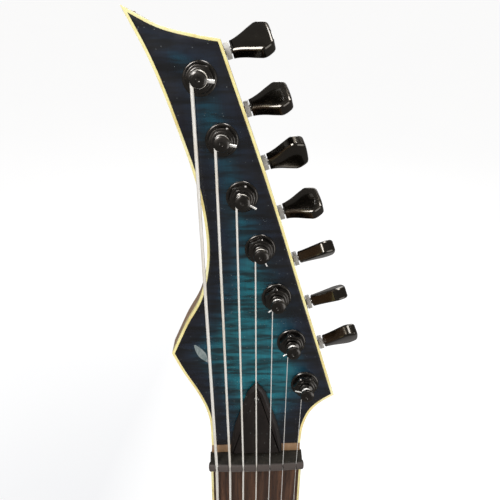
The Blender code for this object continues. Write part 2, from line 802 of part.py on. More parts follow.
def build_switch():
    """A toggle switch: its lever rocks up and down the guitar about a pivot inside the body."""
    frame = FRONT @ Matrix.Translation((*SWITCH_AT, -14 * MM))
    lever = [(1.6, -5), (1.6, 13), (2.6, 17), (3.3, 25), (2.4, 27.6), (1, 28.4)]
    lever = [(out * MM, up * MM) for out, up in lever]
    put("switch_lever", turned(lever, 12), "black_plastic", frame, shade=True)
    under = -TOP_THICK - BODY_FRONT - GAP + 14 * MM
    foot, floor = -24 * MM, -8 * MM
    bore_low, bore_high = 3 * MM, 4 * MM
    over = 14 * MM - BODY_FRONT + GAP
    case = [
        (bore_low, floor),
        (1 * MM, floor),
        (1 * MM, foot),
        (9 * MM, foot),
        (9 * MM, under),
        (4.8 * MM, under),
        (4.8 * MM, over),
        (7 * MM, over),
        (7 * MM, over + 2 * MM),
        (bore_high, over + 2 * MM),
    ]
    put("switch_body", turned(case, closed=True), "black_metal", frame, shade=True)


def build_jack():
    """A barrel jack with a flange, let into the body's edge. Its socket is open through the barrel."""
    frame = along((1, 0, 0), JACK_AT)
    socket = 3.4 * MM
    profile = [
        (socket, 1.4 * MM),
        (socket, -34 * MM),
        (5.8 * MM, -34 * MM),
        (7.8 * MM, -28 * MM),
        (7.8 * MM, GAP - 3 * MM),
        (11 * MM, GAP - 3 * MM),
        (11 * MM, 0.2 * MM),
        (10.2 * MM, 1.4 * MM),
    ]
    put("output_jack", turned(profile, closed=True), "black_metal", frame, shade=True)


def build_strap_button(name, at, out):
    frame = along(out, at)
    profile = [(5, 0), (5, 1), (3.6, 3), (3.6, 8), (7, 10.5), (7, 12.4), (6.4, 13)]
    profile = [(out * MM, up * MM) for out, up in profile]
    put(name, turned(profile, 12), "black_metal", frame, shade=True)


def main():
    clear_scene()
    make_materials()
    post_holes = []
    for index in range(STRINGS):
        name = f"post_hole_{index + 1}"
        post_holes.append(pin_cutter(name, POST_HOLE, -HEAD_THICK - 3 * MM, 3 * MM, post_frame(index), 12))
    channel = rod_channel()
    build_neck(channel, post_holes)
    build_headstock_veneer(channel, post_holes)
    build_fingerboard()
    build_nut()
    build_truss_rod()
    build_tuners()
    build_strings()
    rooms = (pickup_room("neck_pickup", NECK_PICKUP_Z), pickup_room("bridge_pickup", BRIDGE_PICKUP_Z))
    cutters = (neck_pocket(), *rooms)
    build_body(cutters)
    build_top(cutters)
    build_neck_plate()
    build_bridge()
    build_pickup("neck_pickup", NECK_PICKUP_Z)
    build_pickup("bridge_pickup", BRIDGE_PICKUP_Z)
    build_control("volume", VOLUME_AT)
    build_control("tone", TONE_AT)
    build_switch()
    build_jack()
    build_strap_button("strap_button_upper", (-103 * MM, STRAP_Y, -356.6 * MM), (0, 0, 1))
    build_strap_button("strap_button_lower", (0, STRAP_Y, -823.8 * MM), (0, 0, -1))


main()
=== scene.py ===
"""The finished look of a seven-string electric guitar, made round its packed design.

Shapes are in millimetres until put() stores them in metres. The headstock has its own frame: u across, v up
its face and w out of it. The body and neck use x across, z up and y back, with the playing side at -y.
"""

import json
import math

import bmesh
import bpy
import numpy as np
from mathutils import Matrix, Vector, geometry


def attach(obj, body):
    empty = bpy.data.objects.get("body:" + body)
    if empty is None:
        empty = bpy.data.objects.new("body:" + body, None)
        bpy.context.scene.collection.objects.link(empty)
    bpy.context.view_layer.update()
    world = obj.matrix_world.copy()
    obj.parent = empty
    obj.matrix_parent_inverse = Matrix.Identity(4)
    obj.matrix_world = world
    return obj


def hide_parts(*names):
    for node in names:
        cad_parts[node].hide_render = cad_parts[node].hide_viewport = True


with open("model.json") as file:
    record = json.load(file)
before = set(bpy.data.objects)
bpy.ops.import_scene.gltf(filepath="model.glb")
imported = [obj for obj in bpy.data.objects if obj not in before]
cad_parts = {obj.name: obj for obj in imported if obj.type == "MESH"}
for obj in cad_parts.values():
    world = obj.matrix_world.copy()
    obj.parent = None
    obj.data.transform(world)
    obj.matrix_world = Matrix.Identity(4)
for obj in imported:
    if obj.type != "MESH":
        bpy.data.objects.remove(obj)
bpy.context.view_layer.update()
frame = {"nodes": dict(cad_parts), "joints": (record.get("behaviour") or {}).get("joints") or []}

MM = 0.001
STRINGS = 7
ROOT = "guitar"

# Driving dimensions, in millimetres, as the design has them
SCALE = 648
FRETS = 24
BOARD_THICK = 6
BOARD_END = 494
BOARD_RADIUS = 400
NUT_HALF = 24
BOARD_END_HALF = 32.8
NUT_SPREAD = 41.5
BRIDGE_SPREAD = 64.8
STRING_RADII = (0.74, 0.58, 0.45, 0.33, 0.22, 0.165, 0.127)
STRING_AT_NUT = -1.75
STRING_AT_BRIDGE = -4.9
COMPENSATION = (4.0, 3.4, 2.8, 2.2, 2.4, 1.7, 1.0)
NECK_TOP = 6.3
HEAD_THICK = 15
FIRST_POST = (-22.6, 182.4)
POST_TOP = 11.2
POST_HOLE = 5.0
WASHER_RADIUS = 6.9
SHAFT_OFFSET = 6.4
SHAFT_DEPTH = 21.8
BUTTON_SPINS = (-46, -53, 36, -60, 60, 68, 43)
BODY_FRONT = 8
TOP_THICK = 7
BODY_BACK = 52
BINDING = 1.25
HEEL_DEPTH = 30
BASS_NOTCH = (-32.4, -452)
TREBLE_NOTCH = (33.0, -484)
NECK_PICKUP_Z = -524
BRIDGE_PICKUP_Z = -614
VOLUME_AT = (78, -676)
TONE_AT = (112, -704)
SWITCH_AT = (112, -657)
JACK_AT = (157.6, 33, -724)
PLATE_Z = (-676, -640)
WORM_TEETH = 14
SCREW_Y = 3.4
TOP_BACK = -BODY_FRONT - TOP_THICK
POCKET_END = -500.35
NUT_CREST = 3.6
FLOOR_Z = -1.25

# ---------------------------------------------------------------- frames


def frame_of(x_axis, y_axis, z_axis, origin):
    """A placement whose columns are three directions and an origin."""
    axes = Matrix((x_axis, y_axis, z_axis)).transposed().to_4x4()
    return Matrix.Translation(origin) @ axes


def along(direction, origin):
    """A placement whose Z points along a direction."""
    return Matrix.Translation(origin) @ Vector(direction).to_track_quat("Z", "Y").to_matrix().to_4x4()


def shift(x, y, z):
    return Matrix.Translation((x, y, z))


def turn(degrees, axis):
    return Matrix.Rotation(math.radians(degrees), 4, axis)


JOINTS = {joint["name"]: joint for joint in frame["joints"]}


def joint_place(name):
    joint = JOINTS[name]
    return Vector(joint["pos_m"]) / MM, Vector(joint["axis"]).normalized()


def tuner_frame(index):
    """A tuning machine's frame: x towards its button, y up the row, z out of the headstock's face."""
    origin, out = joint_place(f"post_spin_{index + 1}")
    shaft = joint_place(f"button_spin_{index + 1}")[1]
    return frame_of(shaft, out.cross(shaft), out, origin)


ACROSS = Vector((1, 0, 0))
FIRST_CENTRE, HEAD_OUT = joint_place("post_spin_1")
HEAD_UP = HEAD_OUT.cross(ACROSS)
HEAD_ORIGIN = FIRST_CENTRE - ACROSS * FIRST_POST[0] - HEAD_UP * FIRST_POST[1]
HEAD = frame_of(ACROSS, HEAD_UP, HEAD_OUT, HEAD_ORIGIN)
# Front-view outlines use x across and z up: this stands them up, with their depth running forward to -y.
FRONT = frame_of((1, 0, 0), (0, 0, 1), (0, -1, 0), (0, 0, 0))
TUNERS = [tuner_frame(i) for i in range(STRINGS)]
HERE = Matrix.Identity(4)

# ---------------------------------------------------------------- outlines


def smooth(points, steps):
    """A Catmull-Rom curve through points, from the first to the last, without the last point."""
    pts = [Vector(p) for p in points]
    pts = [2 * pts[0] - pts[1]] + pts + [2 * pts[-1] - pts[-2]]
    curve = []
    for a, b, c, d in zip(pts, pts[1:], pts[2:], pts[3:]):
        for k in range(steps):
            t = k / steps
            cubic = (3 * b - a - 3 * c + d) * t**3
            curve.append(0.5 * (2 * b + (c - a) * t + (2 * a - 5 * b + 4 * c - d) * t * t + cubic))
    return curve


def normals(chain, closed):
    """Unit vectors to the left of a chain's heading at each of its points."""
    count = len(chain)
    result = []
    for i, point in enumerate(chain):
        before = chain[i - 1] if closed or i else point
        after = chain[(i + 1) % count] if closed or i < count - 1 else point
        ahead = (after - point).normalized() + (point - before).normalized()
        ahead.normalize()
        result.append(Vector((-ahead.y, ahead.x)))
    return result


def inset(outline, distance):
    """An outline moved to its left, which is inwards when it runs counter-clockwise."""
    return [p + n * distance for p, n in zip(outline, normals(outline, closed=True))]


def circle(radius, segments=32):
    angles = [2 * math.pi * k / segments for k in range(segments)]
    return [Vector((radius * math.cos(a), radius * math.sin(a))) for a in angles]


def rounded_box(half_x, half_y, radius, steps=6):
    """A counter-clockwise rectangle about the origin with round corners."""
    points = []
    for corner, (sx, sy) in enumerate(((1, 1), (-1, 1), (-1, -1), (1, -1))):
        middle = Vector((sx * (half_x - radius), sy * (half_y - radius)))
        for k in range(steps + 1):
            angle = math.pi / 2 * (corner + k / steps)
            points.append(middle + radius * Vector((math.cos(angle), math.sin(angle))))
    return points


def moved(outline, offset):
    return [p + Vector(offset) for p in outline]


def vectors(*points):
    return [Vector(p) for p in points]


def ring_of(radii, height):
    """Points round Z at a height, one for each radius."""
    angles = [2 * math.pi * k / len(radii) for k in range(len(radii))]
    return [(r * math.cos(a), r * math.sin(a), height) for r, a in zip(radii, angles)]


def head_chain(bottom_v, bottom_half):
    """The headstock's edge in u and v, from its foot on the treble side round to the bass side."""
    tip = (-51.4, 208.7)
    top_corner = (-14.2, 196.9)
    low_corner = (39.4, 30.4)
    horn = (-40.8, 56.6)
    runs = (
        ((bottom_half, bottom_v), (23.4, 1.5), (24.3, 10.5), (27.2, 19.2), (32, 25.3), low_corner),
        (low_corner, (22.8, 84), (5.7, 139), top_corner),
        (top_corner, (-22.5, 198.2), (-37.1, 201.7), tip),
        (tip, (-41.3, 187.8), (-32.4, 162.6), (-24.8, 136), (-22.1, 110), (-25.6, 88), (-33.5, 72.6), horn),
        (horn, (-36, 46), (-28, 30.5), (-23.9, 17), (-23.3, 1.5), (-bottom_half, bottom_v)),
    )
    chain = [point for run in runs for point in smooth(run, 10)]
    return chain + [Vector((-bottom_half, bottom_v))]


def body_chain():
    """The body's edge in x and z, counter-clockwise from the neck's bass side round to its treble side."""
    curve = (
        BASS_NOTCH, (-46, -446), (-60, -427), (-73, -400), (-87, -371), (-103, -357), (-116, -368),
        (-128, -400), (-135, -442), (-130, -492), (-114, -543), (-113, -595), (-133, -650),
        (-156, -705), (-160, -755), (-138, -797), (-92, -817), (-40, -823), (0, -823.5),
        (50, -821), (108, -806), (149, -768), (158, -716), (145, -660), (118, -603), (107, -553),
        (118, -505), (131, -462), (131, -426), (117, -408), (99, -416), (80, -443), (60, -472),
        TREBLE_NOTCH,
    )
    return smooth(curve, 8) + [Vector(curve[-1])]


def half_width(z):
    """Half the fingerboard's width at a height z, which is negative below the nut."""
    return NUT_HALF + (BOARD_END_HALF - NUT_HALF) * max(0, -z) / BOARD_END


def string_x(index, z):
    share = index / (STRINGS - 1) - 0.5
    return share * (NUT_SPREAD + (BRIDGE_SPREAD - NUT_SPREAD) * -z / SCALE)


def crown(x):
    """How far the fingerboard's radius falls away at x."""
    return x * x / (2 * BOARD_RADIUS)


def string_y(x, z):
    return STRING_AT_NUT + (STRING_AT_BRIDGE - STRING_AT_NUT) * -z / SCALE + crown(x)


def fret_z(number):
    return -SCALE * (1 - 2 ** (-number / 12))


# ---------------------------------------------------------------- meshes


def loft(rings, loop=False, caps=True):
    """A skin over equal rings of points. A loop joins the last ring to the first."""
    bm = bmesh.new()
    rows = [[bm.verts.new(p) for p in ring] for ring in rings]
    pairs = list(zip(rows, rows[1:])) + ([(rows[-1], rows[0])] if loop else [])
    for low, high in pairs:
        for i in range(len(low)):
            j = (i + 1) % len(low)
            bm.faces.new((low[i], low[j], high[j], high[i]))
    if caps and not loop:
        bm.faces.new(list(reversed(rows[0])))
        bm.faces.new(rows[-1])
    bmesh.ops.recalc_face_normals(bm, faces=bm.faces)
    return bm


def prism(layers):
    """A solid from (outline, height) layers."""
    return loft([[(p[0], p[1], height) for p in outline] for outline, height in layers])


def well(outline, low, high):
    """A straight-sided solid, for a hole or a room."""
    return prism([(outline, low), (outline, high)])


def turned(profile, segments=48, loop=False):
    """A solid turned about Z from (radius, height) points. A looped profile makes a ring with a bore."""
    return loft([[(p.x, p.y, h) for p in circle(r, segments)] for r, h in profile], loop)


def rounded(radius, foot, top, soften, steps=3):
    """A lathe profile for a plain disc with softened rims."""
    profile = []
    for middle, start in ((foot + soften, -90), (top - soften, 0)):
        for k in range(steps + 1):
            angle = math.radians(start + 90 * k / steps)
            profile.append((radius - soften + soften * math.cos(angle), middle + soften * math.sin(angle)))
    return profile


def hex_ring(across_flats, limit, height, segments=72):
    """A hexagon's outline whose corners are cut back to a circle."""
    radii = []
    for k in range(segments):
        from_flat = (2 * math.pi * k / segments + math.pi / 6) % (math.pi / 3) - math.pi / 6
        radii.append(min(across_flats / 2 / math.cos(from_flat), limit))
    return ring_of(radii, height)


def inside(points, loop):
    """Which of an array of points lie in a closed loop."""
    ring = np.array([(p[0], p[1]) for p in loop])
    nxt = np.roll(ring, -1, axis=0)
    x, y = points[:, :1], points[:, 1:2]
    spans = (ring[:, 1] > y) != (nxt[:, 1] > y)
    rise = np.where(nxt[:, 1] == ring[:, 1], 1e-9, nxt[:, 1] - ring[:, 1])
    cross = ring[:, 0] + (y - ring[:, 1]) * (nxt[:, 0] - ring[:, 0]) / rise
    return (spans & (x < cross)).sum(axis=1) % 2 == 1


def edge_distance(points, loop):
    """Each point's distance from a closed loop."""
    a = np.array([(p[0], p[1]) for p in loop])
    b = np.roll(a, -1, axis=0)
    span = b - a
    length = np.maximum((span**2).sum(axis=1), 1e-12)
    best = np.full(len(points), 1e9)
    for start in range(0, len(points), 2000):
        part = points[start : start + 2000, None, :]
        share = np.clip(((part - a) * span).sum(axis=2) / length, 0, 1)
        gap = (a + share[..., None] * span) - part
        best[start : start + 2000] = np.sqrt((gap**2).sum(axis=2)).min(axis=1)
    return best


def fill(bm, loops, height, spacing, up):
    """Closes a plate's face between its rim and its holes with evenly spread triangles."""
    verts, flat, edges = [], [], []
    for loop in loops:
        first = len(flat)
        count = len(loop)
        verts += loop
        flat += [Vector((v.co.x, v.co.y)) for v in loop]
        edges += [(first + i, first + (i + 1) % count) for i in range(count)]
    outlines = [[v.co.xy for v in loop] for loop in loops]
    if spacing:
        rim = np.array(outlines[0])
        low, high = rim.min(axis=0), rim.max(axis=0)
        rows = np.arange(low[1] + spacing / 2, high[1], spacing * 0.87)
        grid = [
            (x + (k % 2) * spacing / 2, y)
            for k, y in enumerate(rows)
            for x in np.arange(low[0], high[0], spacing)
        ]
        grid = np.array(grid)
        keep = inside(grid, outlines[0])
        for outline in outlines:
            keep &= edge_distance(grid, outline) > spacing * 0.45
        for outline in outlines[1:]:
            keep &= ~inside(grid, outline)
        flat += [Vector(p) for p in grid[keep]]
    made, _, faces, origins, _, _ = geometry.delaunay_2d_cdt(flat, edges, [], 0, 1e-6)
    corners = []
    for point, sources in zip(made, origins):
        known = [s for s in sources if s < len(verts)]
        corners.append(verts[known[0]] if known else bm.verts.new((point.x, point.y, height)))
    centres = np.array([sum((made[i] for i in face), Vector((0, 0))) / 3 for face in faces])
    keep = inside(centres, outlines[0])
    for outline in outlines[1:]:
        keep &= ~inside(centres, outline)
    for face, kept in zip(faces, keep):
        if kept:
            order = face if up else list(reversed(face))
            bm.faces.new([corners[i] for i in order])


def plate(outline, low, high, soften_top=0.0, soften_low=0.0, holes=(), spacing=None, steps=4):
    """A plate with rounded rims and through holes. With a spacing, its top is finely divided."""
    layers = []
    for k in range(steps + 1 if soften_low else 1):
        angle = math.pi / 2 * k / steps
        back = soften_low * (1 - math.sin(angle)) if soften_low else 0
        layers.append((inset(outline, back), low + (soften_low * (1 - math.cos(angle)) if soften_low else 0)))
    for k in range(steps + 1 if soften_top else 1):
        angle = math.pi / 2 * k / steps
        back = soften_top * (1 - math.cos(angle)) if soften_top else 0
        layers.append(
            (inset(outline, back), high - (soften_top * (1 - math.sin(angle)) if soften_top else 0))
        )
    bm = loft([[(p.x, p.y, h) for p in ring] for ring, h in layers], caps=False)
    bm.verts.ensure_lookup_table()
    count = len(outline)
    bottom, top = list(bm.verts[:count]), list(bm.verts[-count:])
    lows, highs = [bottom], [top]
    for hole in holes:
        ring_low = [bm.verts.new((p.x, p.y, low)) for p in hole]
        ring_high = [bm.verts.new((p.x, p.y, high)) for p in hole]
        for i in range(len(hole)):
            j = (i + 1) % len(hole)
            bm.faces.new((ring_low[i], ring_high[i], ring_high[j], ring_low[j]))
        lows.append(ring_low)
        highs.append(ring_high)
    fill(bm, lows, low, None, up=False)
    fill(bm, highs, high, spacing, up=True)
    bmesh.ops.recalc_face_normals(bm, faces=bm.faces)
    return bm


def tube(route, radius, sides=10, up=(0, 1, 0)):
    """A closed round bar along a route in space."""
    rings = []
    last = len(route) - 1
    side = Vector(up)
    for i, point in enumerate(route):
        ahead = (route[min(i + 1, last)] - point).normalized() + (point - route[max(i - 1, 0)]).normalized()
        ahead.normalize()
        side = (side - ahead * side.dot(ahead)).normalized()
        other = ahead.cross(side)
        angles = [2 * math.pi * k / sides for k in range(sides)]
        rings.append([point + radius * (side * math.cos(a) + other * math.sin(a)) for a in angles])
    return loft(rings)


def stored(name, bm, place):
    """A millimetre bmesh as an object in metres."""
    bm.transform(Matrix.Scale(MM, 4) @ place)
    mesh = bpy.data.meshes.new(name)
    bm.to_mesh(mesh)
    bm.free()
    return shown(name, mesh)


def shown(name, data):
    obj = bpy.data.objects.new(name, data)
    bpy.context.scene.collection.objects.link(obj)
    return obj


def put(name, bm, material="black_metal", body=ROOT, place=HERE, sharp=35, replaces=()):
    """Stores a millimetre bmesh as a piece that rides on a body, with the named material."""
    obj = stored(name, bm, place)
    mesh = obj.data
    mesh.materials.append(MATERIALS[material])
    mesh.shade_smooth()
    mesh.set_sharp_from_angle(angle=math.radians(sharp))
    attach(obj, body)
    if replaces:
        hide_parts(*replaces)
    return obj


def cut(obj, cutters, operation="DIFFERENCE"):
    """Cuts millimetre shapes, each a (bmesh, placement) pair, out of a piece or joins them to it."""
    for bm, place in cutters:
        tool = stored("cutter", bm, place)
        modifier = obj.modifiers.new("cut", "BOOLEAN")
        modifier.operation = operation
        modifier.solver = "EXACT"
        modifier.object = tool
        bpy.context.view_layer.update()
        result = bpy.data.meshes.new_from_object(obj.evaluated_get(bpy.context.evaluated_depsgraph_get()))
        obj.modifiers.clear()
        old = obj.data
        obj.data = result
        result.name = obj.name
        bpy.data.meshes.remove(old)
        mesh = tool.data
        bpy.data.objects.remove(tool)
        bpy.data.meshes.remove(mesh)
    obj.data.shade_smooth()
    obj.data.set_sharp_from_angle(angle=math.radians(35))
    return obj


def mark_edge_distance(obj, outline, place):
    """Stores each vertex's distance from an outline, in millimetres, for a burst that darkens to the rim."""
    back = (Matrix.Scale(MM, 4) @ place).inverted()
    flat = np.array([(back @ v.co).xy for v in obj.data.vertices])
    values = edge_distance(flat, outline)
    attribute = obj.data.attributes.new("edge", "FLOAT", "POINT")
    attribute.data.foreach_set("value", values.astype(np.float32))


# ---------------------------------------------------------------- materials


class Paint:
    """A Principled material built from nodes, in object coordinates measured in millimetres."""

    def __init__(self, name, **sockets):
        self.material = bpy.data.materials.new(name)
        self.material.use_nodes = True
        self.tree = self.material.node_tree
        self.shader = self.tree.nodes["Principled BSDF"]
        for key, value in sockets.items():
            self.shader.inputs[key.replace("_", " ")].default_value = value
        self.where = self.add("TexCoord").outputs["Object"]

    def feed(self, socket, value):
        if hasattr(value, "node"):
            self.tree.links.new(value, socket)
        elif hasattr(socket.default_value, "__len__") and not hasattr(value, "__len__"):
            socket.default_value = (value,) * len(socket.default_value)
        else:
            socket.default_value = value

    def add(self, kind, **inputs):
        """A new node with its inputs set or linked."""
        node = self.tree.nodes.new("ShaderNode" + kind)
        for key, value in inputs.items():
            self.feed(node.inputs[key.replace("_", " ")], value)
        return node

    def stretch(self, scale, rotation=(0, 0, 0)):
        """Object coordinates times a scale per millimetre."""
        angles = [math.radians(a) for a in rotation]
        scale = [s / MM for s in scale]
        return self.add("Mapping", Scale=scale, Rotation=angles, Vector=self.where).outputs["Vector"]

    def even(self, scale):
        return self.stretch((scale, scale, scale))

    def noise(self, vector, detail=3.0, rough=0.5, distortion=0.0):
        node = self.add(
            "TexNoise", Vector=vector, Scale=1.0, Detail=detail, Roughness=rough, Distortion=distortion
        )
        return node.outputs["Fac"]

    def spots(self, vector):
        """Distance from the nearest of some scattered points, and a random value for each."""
        node = self.add("TexVoronoi", Vector=vector, Scale=1.0)
        return node.outputs["Distance"], node.outputs["Color"]

    def bands(self, vector):
        node = self.add("TexWave", Vector=vector, Scale=1.0, Distortion=0.0, Detail=2.0)
        node.bands_direction = "Z"
        return node.outputs["Fac"]

    def stored(self, name):
        node = self.add("Attribute")
        node.attribute_name = name
        return node.outputs["Fac"]

    def maths(self, operation, *values):
        node = self.add("Math")
        node.operation = operation
        for socket, value in zip(node.inputs, values):
            self.feed(socket, value)
        return node.outputs[0]

    def times(self, first, second):
        return self.maths("MULTIPLY", first, second)

    def between(self, value, low, high, to_low=0.0, to_high=1.0):
        """Maps a value's range smoothly onto another, held at both ends."""
        node = self.add("MapRange", Value=value, From_Min=low, From_Max=high, To_Min=to_low, To_Max=to_high)
        node.interpolation_type = "SMOOTHSTEP"
        return node.outputs["Result"]

    def ramp(self, fac, stops):
        node = self.add("ValToRGB", Fac=fac)
        elements = node.color_ramp.elements
        while len(elements) < len(stops):
            elements.new(0.5)
        for element, (position, colour) in zip(elements, stops):
            element.position = position
            element.color = (*colour, 1)
        return node.outputs["Color"]

    def mix(self, fac, first, second):
        node = self.add("Mix")
        node.data_type = "RGBA"
        self.feed(node.inputs[0], fac)
        for socket, value in ((node.inputs[6], first), (node.inputs[7], second)):
            self.feed(socket, (*value, 1) if isinstance(value, tuple) else value)
        return node.outputs[2]

    def colour(self, value):
        self.feed(self.shader.inputs["Base Color"], value)

    def rough(self, value):
        self.feed(self.shader.inputs["Roughness"], value)

    def bump(self, height, depth):
        """Relief of a depth in millimetres."""
        node = self.add("Bump", Strength=1.0, Distance=depth * MM, Height=height)
        self.feed(self.shader.inputs["Normal"], node.outputs["Normal"])


def dusted(paint, colour, amount=0.5, size=0.9):
    """Sparse pale dust specks over a colour."""
    near, chance = paint.spots(paint.even(size))
    picked = paint.maths("GREATER_THAN", chance, 0.62)
    speck = paint.times(paint.between(near, 0.05, 0.13, 1.0, 0.0), picked)
    return paint.mix(paint.times(speck, amount), colour, (0.5, 0.55, 0.55))


def flamed_maple(name, dark, rim, middle, heart, figure, burst, grain_tilt=0.0):
    """Stained figured maple under gloss lacquer: a burst over its edge distance, and a cross figure."""
    paint = Paint(name, Roughness=0.32, Coat_Weight=1.0, Coat_Roughness=0.035, Coat_IOR=1.5)
    wobble = paint.noise(paint.even(0.05), 3)
    waver = paint.times(paint.maths("SUBTRACT", wobble, 0.5), burst * 0.5)
    edge = paint.maths("ADD", paint.stored("edge"), waver)
    stain = paint.ramp(
        paint.maths("DIVIDE", edge, burst), ((0.05, dark), (0.34, rim), (0.66, middle), (1.0, heart))
    )
    turned_by = (0, grain_tilt, 0)
    broad = paint.noise(paint.stretch((figure[0], figure[0], figure[1]), turned_by), 2, 0.55, distortion=0.6)
    fine = paint.noise(
        paint.stretch((figure[0] * 2.6, 0.1, figure[1] * 2.3), turned_by), 3, 0.6, distortion=0.4
    )
    flame = paint.maths("ADD", paint.times(broad, 0.62), paint.times(fine, 0.38))
    lit = paint.between(flame, 0.38, 0.62, 0.28, 1.7)
    pores = paint.noise(paint.stretch((2.2, 0.5, 0.12)), 3, 0.6)
    shade = paint.times(lit, paint.between(pores, 0.3, 0.7, 0.86, 1.1))
    node = paint.add("VectorMath")
    node.operation = "SCALE"
    paint.feed(node.inputs[0], stain)
    paint.feed(node.inputs["Scale"], shade)
    paint.colour(dusted(paint, node.outputs[0], 0.5, 0.75))
    smear = paint.noise(paint.stretch((0.03, 0.03, 0.05)), 4, 0.6)
    paint.rough(paint.between(smear, 0.35, 0.7, 0.24, 0.42))
    paint.bump(paint.noise(paint.even(0.09), 2), 0.012)
    return paint.material


def wood(name, pale, mid, dark, along_z=0.012, across=0.5, gloss=0.35, coat=0.0, pores=0.5, relief=0.02):
    """Straight-grained wood running up the object, with open pores."""
    paint = Paint(name, Coat_Weight=coat, Coat_Roughness=0.08)
    streak = paint.noise(paint.stretch((across, across, along_z)), 5, 0.62, distortion=0.5)
    board = paint.noise(paint.stretch((across * 0.16, across * 0.16, along_z * 0.35)), 2)
    grain = paint.maths("ADD", paint.times(streak, 0.6), paint.times(board, 0.4))
    base = paint.ramp(grain, ((0.3, dark), (0.5, mid), (0.7, pale)))
    pore = paint.noise(paint.stretch((across * 6, across * 6, along_z * 9)), 2, 0.7)
    open_pore = paint.between(pore, 0.56, 0.68)
    paint.colour(paint.mix(paint.times(open_pore, pores), base, tuple(c * 0.3 for c in dark)))
    paint.rough(paint.between(streak, 0.3, 0.7, gloss - 0.06, gloss + 0.1))
    paint.bump(paint.maths("SUBTRACT", 1.0, open_pore), relief)
    return paint.material


def plated(name, colour, gloss, grime=0.4, coat=0.0, metallic=1.0):
    """Plated or painted metal with handling haze and fine scratches."""
    paint = Paint(name, Metallic=metallic, Coat_Weight=coat, Coat_Roughness=0.05)
    haze = paint.noise(paint.even(0.22), 5, 0.65)
    scratch = paint.noise(paint.stretch((0.7, 0.7, 3.1), (20, 35, 0)), 4, 0.7)
    paint.rough(paint.between(haze, 0.35, 0.75, gloss, gloss + grime * 0.35))
    worn = paint.between(scratch, 0.6, 0.75, 0.0, 0.35)
    bared = tuple(min(1, c * 1.8 + 0.02) for c in colour)
    paint.colour(dusted(paint, paint.mix(worn, colour, bared), grime * 0.5, 0.8))
    paint.bump(scratch, 0.006)
    return paint.material


def moulded(name, colour, gloss, coat=0.3, mottle=0.15, relief=0.008, dust=0.15):
    """Moulded plastic with a faint orange-peel surface and slight colour drift."""
    paint = Paint(name, Coat_Weight=coat, Coat_Roughness=0.08)
    drift = paint.noise(paint.stretch((0.12, 0.12, 0.05)), 4, 0.6)
    darker = tuple(c * (1 - mottle) for c in colour)
    paint.colour(dusted(paint, paint.mix(paint.between(drift, 0.35, 0.65), darker, colour), dust, 0.7))
    peel = paint.noise(paint.even(1.6), 3)
    paint.rough(paint.between(drift, 0.3, 0.7, gloss, gloss + 0.12))
    paint.bump(peel, relief)
    return paint.material


def binding_cream():
    """Aged cream binding: a warm stain gathers in places, and scrape lines cross it."""
    paint = Paint("binding_cream", Coat_Weight=0.7, Coat_Roughness=0.07, Subsurface_Weight=0.08)
    drift = paint.noise(paint.even(0.05), 4, 0.6)
    stain = paint.between(paint.noise(paint.stretch((0.4, 0.4, 0.16)), 4, 0.7), 0.5, 0.8)
    cream = paint.ramp(
        drift, ((0.32, (0.80, 0.63, 0.25)), (0.5, (0.92, 0.80, 0.36)), (0.68, (0.96, 0.88, 0.50)))
    )
    paint.colour(paint.mix(paint.times(stain, 0.5), cream, (0.55, 0.33, 0.12)))
    paint.rough(paint.between(drift, 0.3, 0.7, 0.28, 0.42))
    paint.bump(paint.noise(paint.stretch((0.6, 0.6, 2.0)), 3), 0.01)
    return paint.material


def wound_wire():
    """Nickel wound string: its turns show as fine ridges, bright on top, with painted shade darkening the
    grooves between them.
    """
    paint = Paint("wound_wire", Metallic=0.35)
    turns = paint.bands(paint.stretch((0.3, 0.3, 0.9)))
    tarnish = paint.noise(paint.stretch((0.2, 0.2, 0.03)), 3)
    bright = paint.mix(paint.between(tarnish, 0.4, 0.7), (0.96, 0.93, 0.87), (0.84, 0.78, 0.68))
    # Painted shade: the colour darkens to a dark brown in the grooves between the turns.
    paint.colour(paint.mix(paint.between(turns, 0.0, 0.45, 0.22, 0.0), bright, (0.30, 0.26, 0.22)))
    paint.rough(paint.between(tarnish, 0.3, 0.7, 0.34, 0.48))
    paint.bump(turns, 0.03)
    return paint.material


def nut_graphite():
    """Graphite-filled nut, worn smooth on its crest and dusty on its back slope, with a painted highlight
    that makes its crest a lighter grey.
    """
    paint = Paint("nut_graphite", Specular_IOR_Level=0.3)
    fine = paint.noise(paint.even(1.3), 5, 0.7)
    chalk = paint.between(paint.noise(paint.stretch((0.35, 0.9, 0.9)), 5, 0.75), 0.55, 0.75)
    base = paint.mix(paint.between(fine, 0.3, 0.7), (0.003, 0.0025, 0.0015), (0.018, 0.014, 0.008))
    dusty = paint.mix(paint.times(chalk, 0.30), base, (0.12, 0.098, 0.062))
    level = paint.add("SeparateXYZ", Vector=paint.where)
    # Over the crest, up to 5.2 mm from the nut's front, worn lowers the roughness as real wear does, and its
    # lighter grey colour there is a painted highlight.
    worn = paint.between(level.outputs["Z"], 5.2 * MM, 5.7 * MM, 1.0, 0.0)
    paint.colour(paint.mix(worn, dusted(paint, dusty, 0.5, 1.1), (0.078, 0.064, 0.058)))
    paint.rough(paint.mix(worn, (0.74, 0.74, 0.74), (0.3, 0.3, 0.3)))
    paint.bump(fine, 0.06)
    return paint.material


def pearl():
    """Shimmering inlay shell."""
    paint = Paint("pearl", Coat_Weight=0.8, Coat_Roughness=0.04)
    swirl = paint.noise(paint.stretch((0.25, 0.25, 0.14)), 4, 0.6, distortion=1.6)
    paint.colour(
        paint.ramp(swirl, ((0.3, (0.09, 0.14, 0.15)), (0.5, (0.27, 0.31, 0.30)), (0.66, (0.15, 0.15, 0.19))))
    )
    paint.rough(paint.between(swirl, 0.3, 0.7, 0.18, 0.34))
    return paint.material


